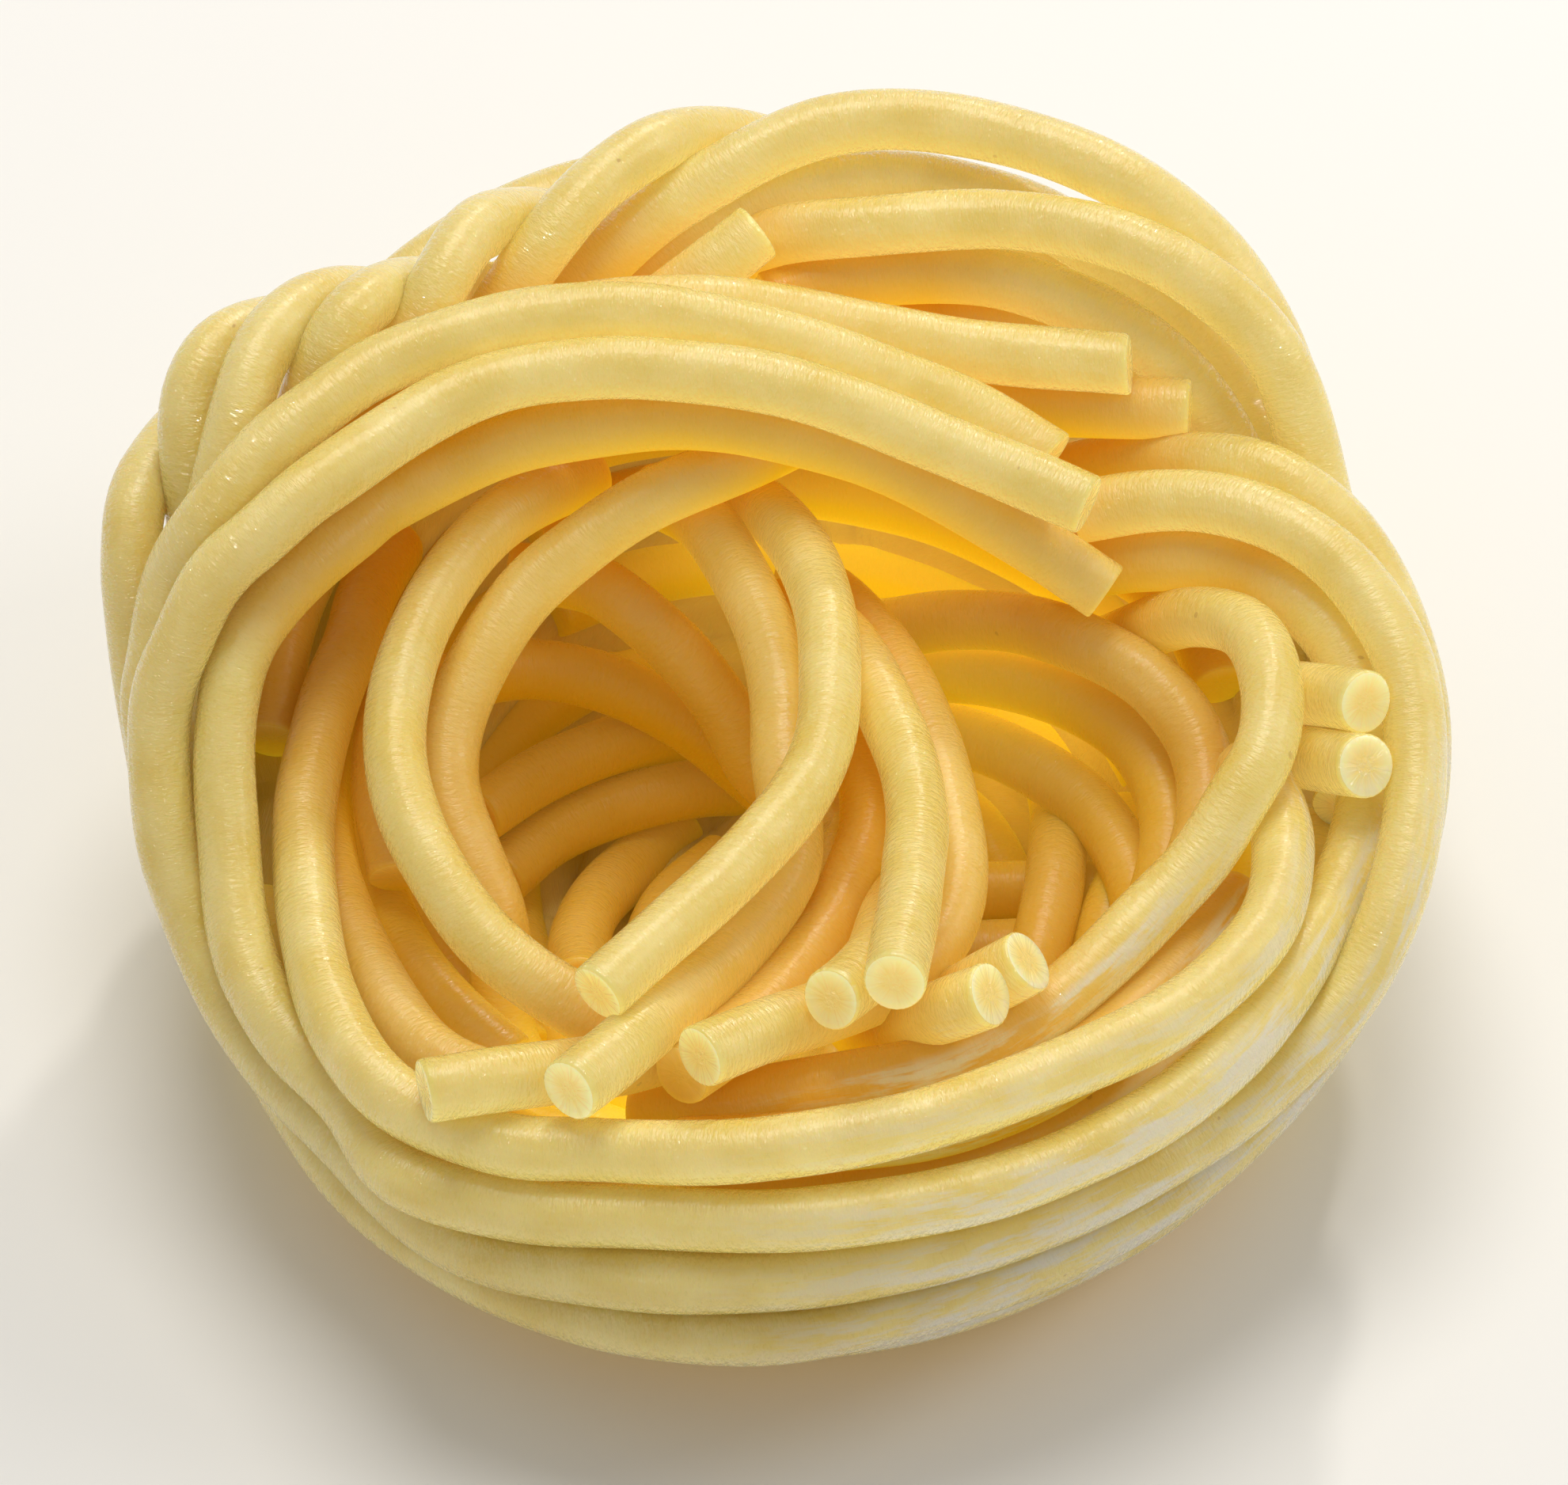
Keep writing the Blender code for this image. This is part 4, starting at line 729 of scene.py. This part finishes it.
def pastaMaterial():
    # colour: skin and body by a slow mottle, cut faces, then painted shade and glow towards amber by shelter,
    # then specks and starch; bumps: fine wrinkles over long drawn ridges; glow, painted as emission: shelter
    # times the place's glow, and light let through
    material = bpy.data.materials.new("driedDurumPasta")
    material.use_nodes = True
    tree = material.node_tree
    tree.nodes.clear()
    look = driedPasta
    noise, ranged, mix, maths = "ShaderNodeTexNoise", "ShaderNodeMapRange", "ShaderNodeMix", "ShaderNodeMath"
    place = addNode(tree, "ShaderNodeTexCoord").outputs["Object"]
    along = addNode(tree, "ShaderNodeAttribute", attribute_name="strandPlace").outputs["Vector"]
    cut = addNode(tree, "ShaderNodeAttribute", attribute_name="cutFace").outputs["Fac"]
    depth = addNode(tree, "ShaderNodeAttribute", attribute_name="shelter").outputs["Fac"]
    rubbed = addNode(tree, "ShaderNodeAttribute", attribute_name="starch").outputs["Fac"]
    paintedGlowShare = addNode(tree, "ShaderNodeAttribute", attribute_name="glow").outputs["Fac"]
    through = addNode(tree, "ShaderNodeAttribute", attribute_name="through").outputs["Fac"]
    millimetres = addNode(tree, "ShaderNodeVectorMath", {1: (1000, 1000, 1000)}, {0: place},
                          operation="MULTIPLY").outputs[0]
    stretched = addNode(tree, "ShaderNodeVectorMath", {1: (0.16, 1.0, 1.0)}, {0: along},
                        operation="MULTIPLY").outputs[0]
    slow = addNode(tree, noise, {"Scale": 1 / look["mottleMm"], "Detail": 3.0},
                   {"Vector": millimetres}).outputs["Fac"]
    streak = addNode(tree, noise, {"Scale": 2.0, "Detail": 2.0}, {"Vector": stretched}).outputs["Fac"]
    drawn = addNode(tree, noise, {"Scale": 0.9, "Detail": 2.0}, {"Vector": stretched}).outputs["Fac"]
    finest = (1 / look["grainMm"],) + (1 / look["wrinkleMm"],) * 2
    wrinkled = addNode(tree, "ShaderNodeVectorMath", {1: finest}, {0: along}, operation="MULTIPLY").outputs[0]
    grain = addNode(tree, noise, {"Scale": 1.0, "Detail": 2.0, "Roughness": 0.65},
                    {"Vector": wrinkled}).outputs["Fac"]
    flour = addNode(tree, noise, {"Scale": 1.6, "Detail": 4.0, "Roughness": 0.7},
                    {"Vector": stretched}).outputs["Fac"]
    dots = addNode(tree, noise, {"Scale": 1.7, "Detail": 0.0}, {"Vector": millimetres}).outputs["Fac"]
    mottle = addNode(tree, ranged, {"From Min": 0.35, "From Max": 0.65, "To Min": 0.2, "To Max": 0.8},
                     {"Value": slow}).outputs["Result"]
    light = addNode(tree, ranged, {"From Min": 0.5, "From Max": 0.72, "To Max": 0.35},
                    {"Value": streak}).outputs["Result"]
    deep = addNode(tree, ranged, {"From Min": 0.3, "From Max": 0.9}, {"Value": depth}).outputs["Result"]
    face = addNode(tree, ranged, {"From Min": -0.02, "From Max": 0.0}, {"Value": cut}).outputs["Result"]
    middle = addNode(tree, ranged, {"From Min": 0.1, "From Max": 0.6}, {"Value": cut}).outputs["Result"]
    specks = addNode(tree, ranged, {"From Min": 0.88, "From Max": 0.9, "To Max": 0.45},
                     {"Value": dots}).outputs["Result"]
    patches = addNode(tree, ranged, {"From Min": 0.44, "From Max": 0.58}, {"Value": flour}).outputs["Result"]
    dust = addNode(tree, maths, {}, {0: rubbed, 1: patches}, operation="MULTIPLY").outputs[0]
    colour = addNode(tree, mix, {6: linear(look["skin"]), 7: linear(look["body"])}, {0: mottle},
                     data_type="RGBA").outputs[2]
    colour = addNode(tree, mix, {7: linear(look["skin"])}, {0: light, 6: colour}, data_type="RGBA").outputs[2]
    paintedShadeAndGlow = addNode(tree, mix, {6: linear(look["deepDark"]), 7: linear(look["deep"])}, {0: paintedGlowShare},
                    data_type="RGBA").outputs[2]
    ends = addNode(tree, mix, {6: linear(look["cutRim"]), 7: linear(look["cutMiddle"])}, {0: middle},
                   data_type="RGBA").outputs[2]
    colour = addNode(tree, mix, {}, {0: face, 6: colour, 7: ends}, data_type="RGBA").outputs[2]
    # painted shade and painted glow: sheltered places take the amber colours
    colour = addNode(tree, mix, {}, {0: deep, 6: colour, 7: paintedShadeAndGlow}, data_type="RGBA").outputs[2]
    colour = addNode(tree, mix, {7: linear(look["speck"])}, {0: specks, 6: colour},
                     data_type="RGBA").outputs[2]
    colour = addNode(tree, mix, {7: linear(look["starch"])}, {0: dust, 6: colour},
                     data_type="RGBA").outputs[2]
    bumps = addNode(tree, "ShaderNodeBump", {"Strength": 1.0, "Distance": look["coatDepth"]},
                    {"Height": grain}).outputs["Normal"]
    soft = addNode(tree, "ShaderNodeBump", {"Strength": 0.5, "Distance": look["skinDepth"]},
                   {"Height": grain}).outputs["Normal"]
    ridges = addNode(tree, "ShaderNodeBump", {"Strength": 0.4, "Distance": look["ridgeDepth"]},
                     {"Height": drawn, "Normal": soft}).outputs["Normal"]
    fine = addNode(tree, ranged, {"From Min": 0.3, "From Max": 0.7, "To Min": look["roughness"] - 0.06,
                                  "To Max": look["roughness"] + 0.12}, {"Value": grain}).outputs["Result"]
    dull = addNode(tree, maths, {1: 0.35}, {0: dust}, operation="MULTIPLY").outputs[0]
    rough = addNode(tree, maths, {}, {0: fine, 1: dull}, operation="ADD").outputs[0]
    # painted light as emission: glow in sheltered places and light let through to shaded sides
    shown = addNode(tree, maths, {1: look["glowStrength"]}, {0: deep}, operation="MULTIPLY").outputs[0]
    lit = addNode(tree, maths, {}, {0: shown, 1: paintedGlowShare}, operation="MULTIPLY").outputs[0]
    passed = addNode(tree, maths, {}, {0: lit, 1: through}, operation="ADD").outputs[0]
    tint = addNode(tree, mix, {6: linear(look["through"]), 7: linear(look["glow"])}, {0: deep},
                   data_type="RGBA").outputs[2]
    # painted shade on the gloss: coat and highlights weaker on sheltered strands
    gloss = addNode(tree, ranged, {"To Min": look["coat"][0], "To Max": look["coat"][1]},
                    {"Value": deep}).outputs["Result"]
    sheen = addNode(tree, ranged, {"To Min": look["highlights"][0], "To Max": look["highlights"][1]},
                    {"Value": deep}).outputs["Result"]
    shader = addNode(tree, "ShaderNodeBsdfPrincipled", {
        "IOR": 1.5, "Subsurface Weight": look["lightShare"], "Subsurface Radius": look["lightReach"],
        "Subsurface Scale": look["lightScale"], "Coat Roughness": look["coatRoughness"]},
        {"Base Color": colour, "Roughness": rough, "Normal": ridges, "Coat Normal": bumps,
         "Coat Weight": gloss, "Specular IOR Level": sheen, "Emission Color": tint,
         "Emission Strength": passed})
    addNode(tree, "ShaderNodeOutputMaterial", links={"Surface": shader.outputs["BSDF"]})
    return material


shineThrough = {
    "from": (-0.10, 0.62, 0.78),   # where the light comes from that passes through a strand to its far side
    "strength": 0.52,
    "heights": (8.0, 17.0),        # it grows over these, as the strands lower down stand in their own shade
    "across": (-30.0, -4.0),       # and over these from the left
}


def throughOf(points, normals):
    # strength (half less half the cosine between the normal and the light)^1.5, times the climbs over the
    # heights and across
    cosine = np.minimum(normals @ np.array(shineThrough["from"]), 1)
    climb = ease(points[:, 2], *shineThrough["heights"]) * ease(points[:, 0], *shineThrough["across"])
    return shineThrough["strength"] * (0.5 - 0.5 * cosine) ** 1.5 * climb


starchMarks = {
    "angles": (-98.0, 18.0),   # the rubbed side, front right
    "fade": 24.0,
    "leastReach": 17.0,
    "heights": (2.0, 17.0),
    "heightFade": 2.5,
    "outwards": (0.1, 0.6),    # how far a normal looks outwards where the marks start, and where they are full
}


def pointsAndNormals(mesh):
    count = len(mesh.vertices)
    points = np.empty(count * 3, np.float32)
    mesh.vertices.foreach_get("co", points)
    normals = np.empty(count * 3, np.float32)
    mesh.vertex_normals.foreach_get("vector", normals)
    return points.reshape(-1, 3) / mm, normals.reshape(-1, 3)


def starchOf(points, normals):
    # how far a vertex lies inside the rubbed side's angles and heights, and how far its normal looks outwards
    angle = np.degrees(np.arctan2(points[:, 1], points[:, 0]))
    reach = np.hypot(points[:, 0], points[:, 1])
    low, high = starchMarks["angles"]
    inside = np.clip(np.minimum(angle - low, high - angle) / starchMarks["fade"], 0, 1)
    outwards = (normals[:, :2] * points[:, :2]).sum(axis=1) / np.maximum(reach, 0.1)
    least, most = starchMarks["heights"]
    tall = np.clip(np.minimum(points[:, 2] - least, most - points[:, 2]) / starchMarks["heightFade"], 0, 1)
    start, full = starchMarks["outwards"]
    turned = np.clip((outwards - start) / (full - start), 0, 1)
    return inside * turned * (reach > starchMarks["leastReach"]) * tall


floorLook = {"size": 3000.0, "below": 0.02, "colour": "#f4f3f0", "roughness": 0.6}


def plainFloor():
    half = floorLook["size"] / 2
    plan = np.array([(-half, -half), (half, -half), (half, half), (-half, half)])
    corners = np.column_stack([plan, np.full(4, -floorLook["below"])])
    made = makeMesh("plainFloor", corners, [np.array([[0, 1, 2, 3]])])
    material = bpy.data.materials.new("paleMattCard")
    material.use_nodes = True
    shader = material.node_tree.nodes["Principled BSDF"]
    shader.inputs["Base Color"].default_value = linear(floorLook["colour"])
    shader.inputs["Roughness"].default_value = floorLook["roughness"]
    made.data.materials.append(material)
    return made


camera = {
    "width": 1981,
    "focalPixels": 8658.0,
    "sensor": 36.0,
    "distance": 260.0,
    "rise": 50.0,
    "aim": (0.0, 0.0, 12.0),
}


def addCamera():
    # the camera looks down at its aim by the rise, from the distance, straight from the front
    rise = math.radians(camera["rise"])
    aim = Vector(camera["aim"]) + Vector((*strand["centreShift"], 0))
    ahead = Vector((0, math.cos(rise), -math.sin(rise)))
    data = bpy.data.cameras.new("photoCamera")
    data.sensor_fit = "HORIZONTAL"
    data.sensor_width = camera["sensor"]
    data.lens = camera["focalPixels"] / camera["width"] * camera["sensor"]
    data.clip_start = 0.01
    made = bpy.data.objects.new("photoCamera", data)
    made.matrix_world = Matrix.Translation((aim - ahead * camera["distance"]) * mm) @ (
        ahead.to_track_quat("-Z", "Y").to_matrix().to_4x4())
    bpy.context.scene.collection.objects.link(made)
    bpy.context.scene.camera = made


# Places and sizes of the lights are metres.
lights = {
    "world": 0.43,
    "aim": (0, 0, 0.012),
    "panels": [               # (from, size, watts, colour)
        ((-0.02, 0.17, 0.47), 0.26, 1.08, "#fffaf2"),
        ((0.12, 0.42, 0.33), 0.04, 0.6, "#fffaf2"),
        ((0.38, 0.05, 0.34), 0.16, 0.3, "#fffdf8"),
        ((-0.30, -0.34, 0.30), 0.35, 0.05, "#f8faff"),
    ],
}


def addLights():
    for k, (place, size, watts, colour) in enumerate(lights["panels"]):
        data = bpy.data.lights.new(f"softPanel{k + 1}", "AREA")
        data.shape = "DISK"
        data.size = size
        data.energy = watts
        data.color = linear(colour)[:3]
        made = bpy.data.objects.new(f"softPanel{k + 1}", data)
        made.location = place
        made.rotation_euler = (Vector(lights["aim"]) - Vector(place)).to_track_quat("-Z", "Y").to_euler()
        bpy.context.scene.collection.objects.link(made)
    world = bpy.data.worlds.new("paleRoom")
    world.use_nodes = True
    world.node_tree.nodes["Background"].inputs["Color"].default_value = (1, 1, 1, 1)
    world.node_tree.nodes["Background"].inputs["Strength"].default_value = lights["world"]
    bpy.context.scene.world = world


groups = {"outerLoops": outerLoops, "rimStrands": rimStrands, "hollowCurls": hollowCurls,
          "hollowFloor": hollowFloor}
routes = {name: (group, True, *route)
          for group, strands in groups.items() for name, route in strands.items()}
routes.update({name: ("outerWindings", False, *route) for name, route in wallWindings().items()})
routes.update({name: ("hollowFloor", False, *route) for name, route in liningWindings().items()})
lines = settleStrands(
    [throughStations(middle, stations, strand["stationStep"]) for _, _, middle, stations in routes.values()],
    [shown for _, shown, _, _ in routes.values()])
solidPoints = np.vstack(lines)
print("strands settled:", len(lines), "with", len(solidPoints), "points")

pasta = pastaMaterial()
pieces = [bundleCore()]
for number, group in enumerate([*groups, "outerWindings"]):
    members = [line for line, route in zip(lines, routes.values()) if route[0] == group]
    pieces.append(strandPiece(group, members, np.random.default_rng(strand["seed"] + number)))
for piece in pieces:
    places = pointsAndNormals(piece.data)
    addNumber(piece.data, "starch", starchOf(*places))
    addNumber(piece.data, "through", throughOf(*places))
    piece.data.materials.append(pasta)
    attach(piece, "root")
    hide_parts("pasta_nest")
    print("piece", piece.name, len(piece.data.polygons), "faces")

plainFloor()
addCamera()
addLights()
bpy.context.scene.view_settings.view_transform = "Standard"
print("stage, camera and lights set")
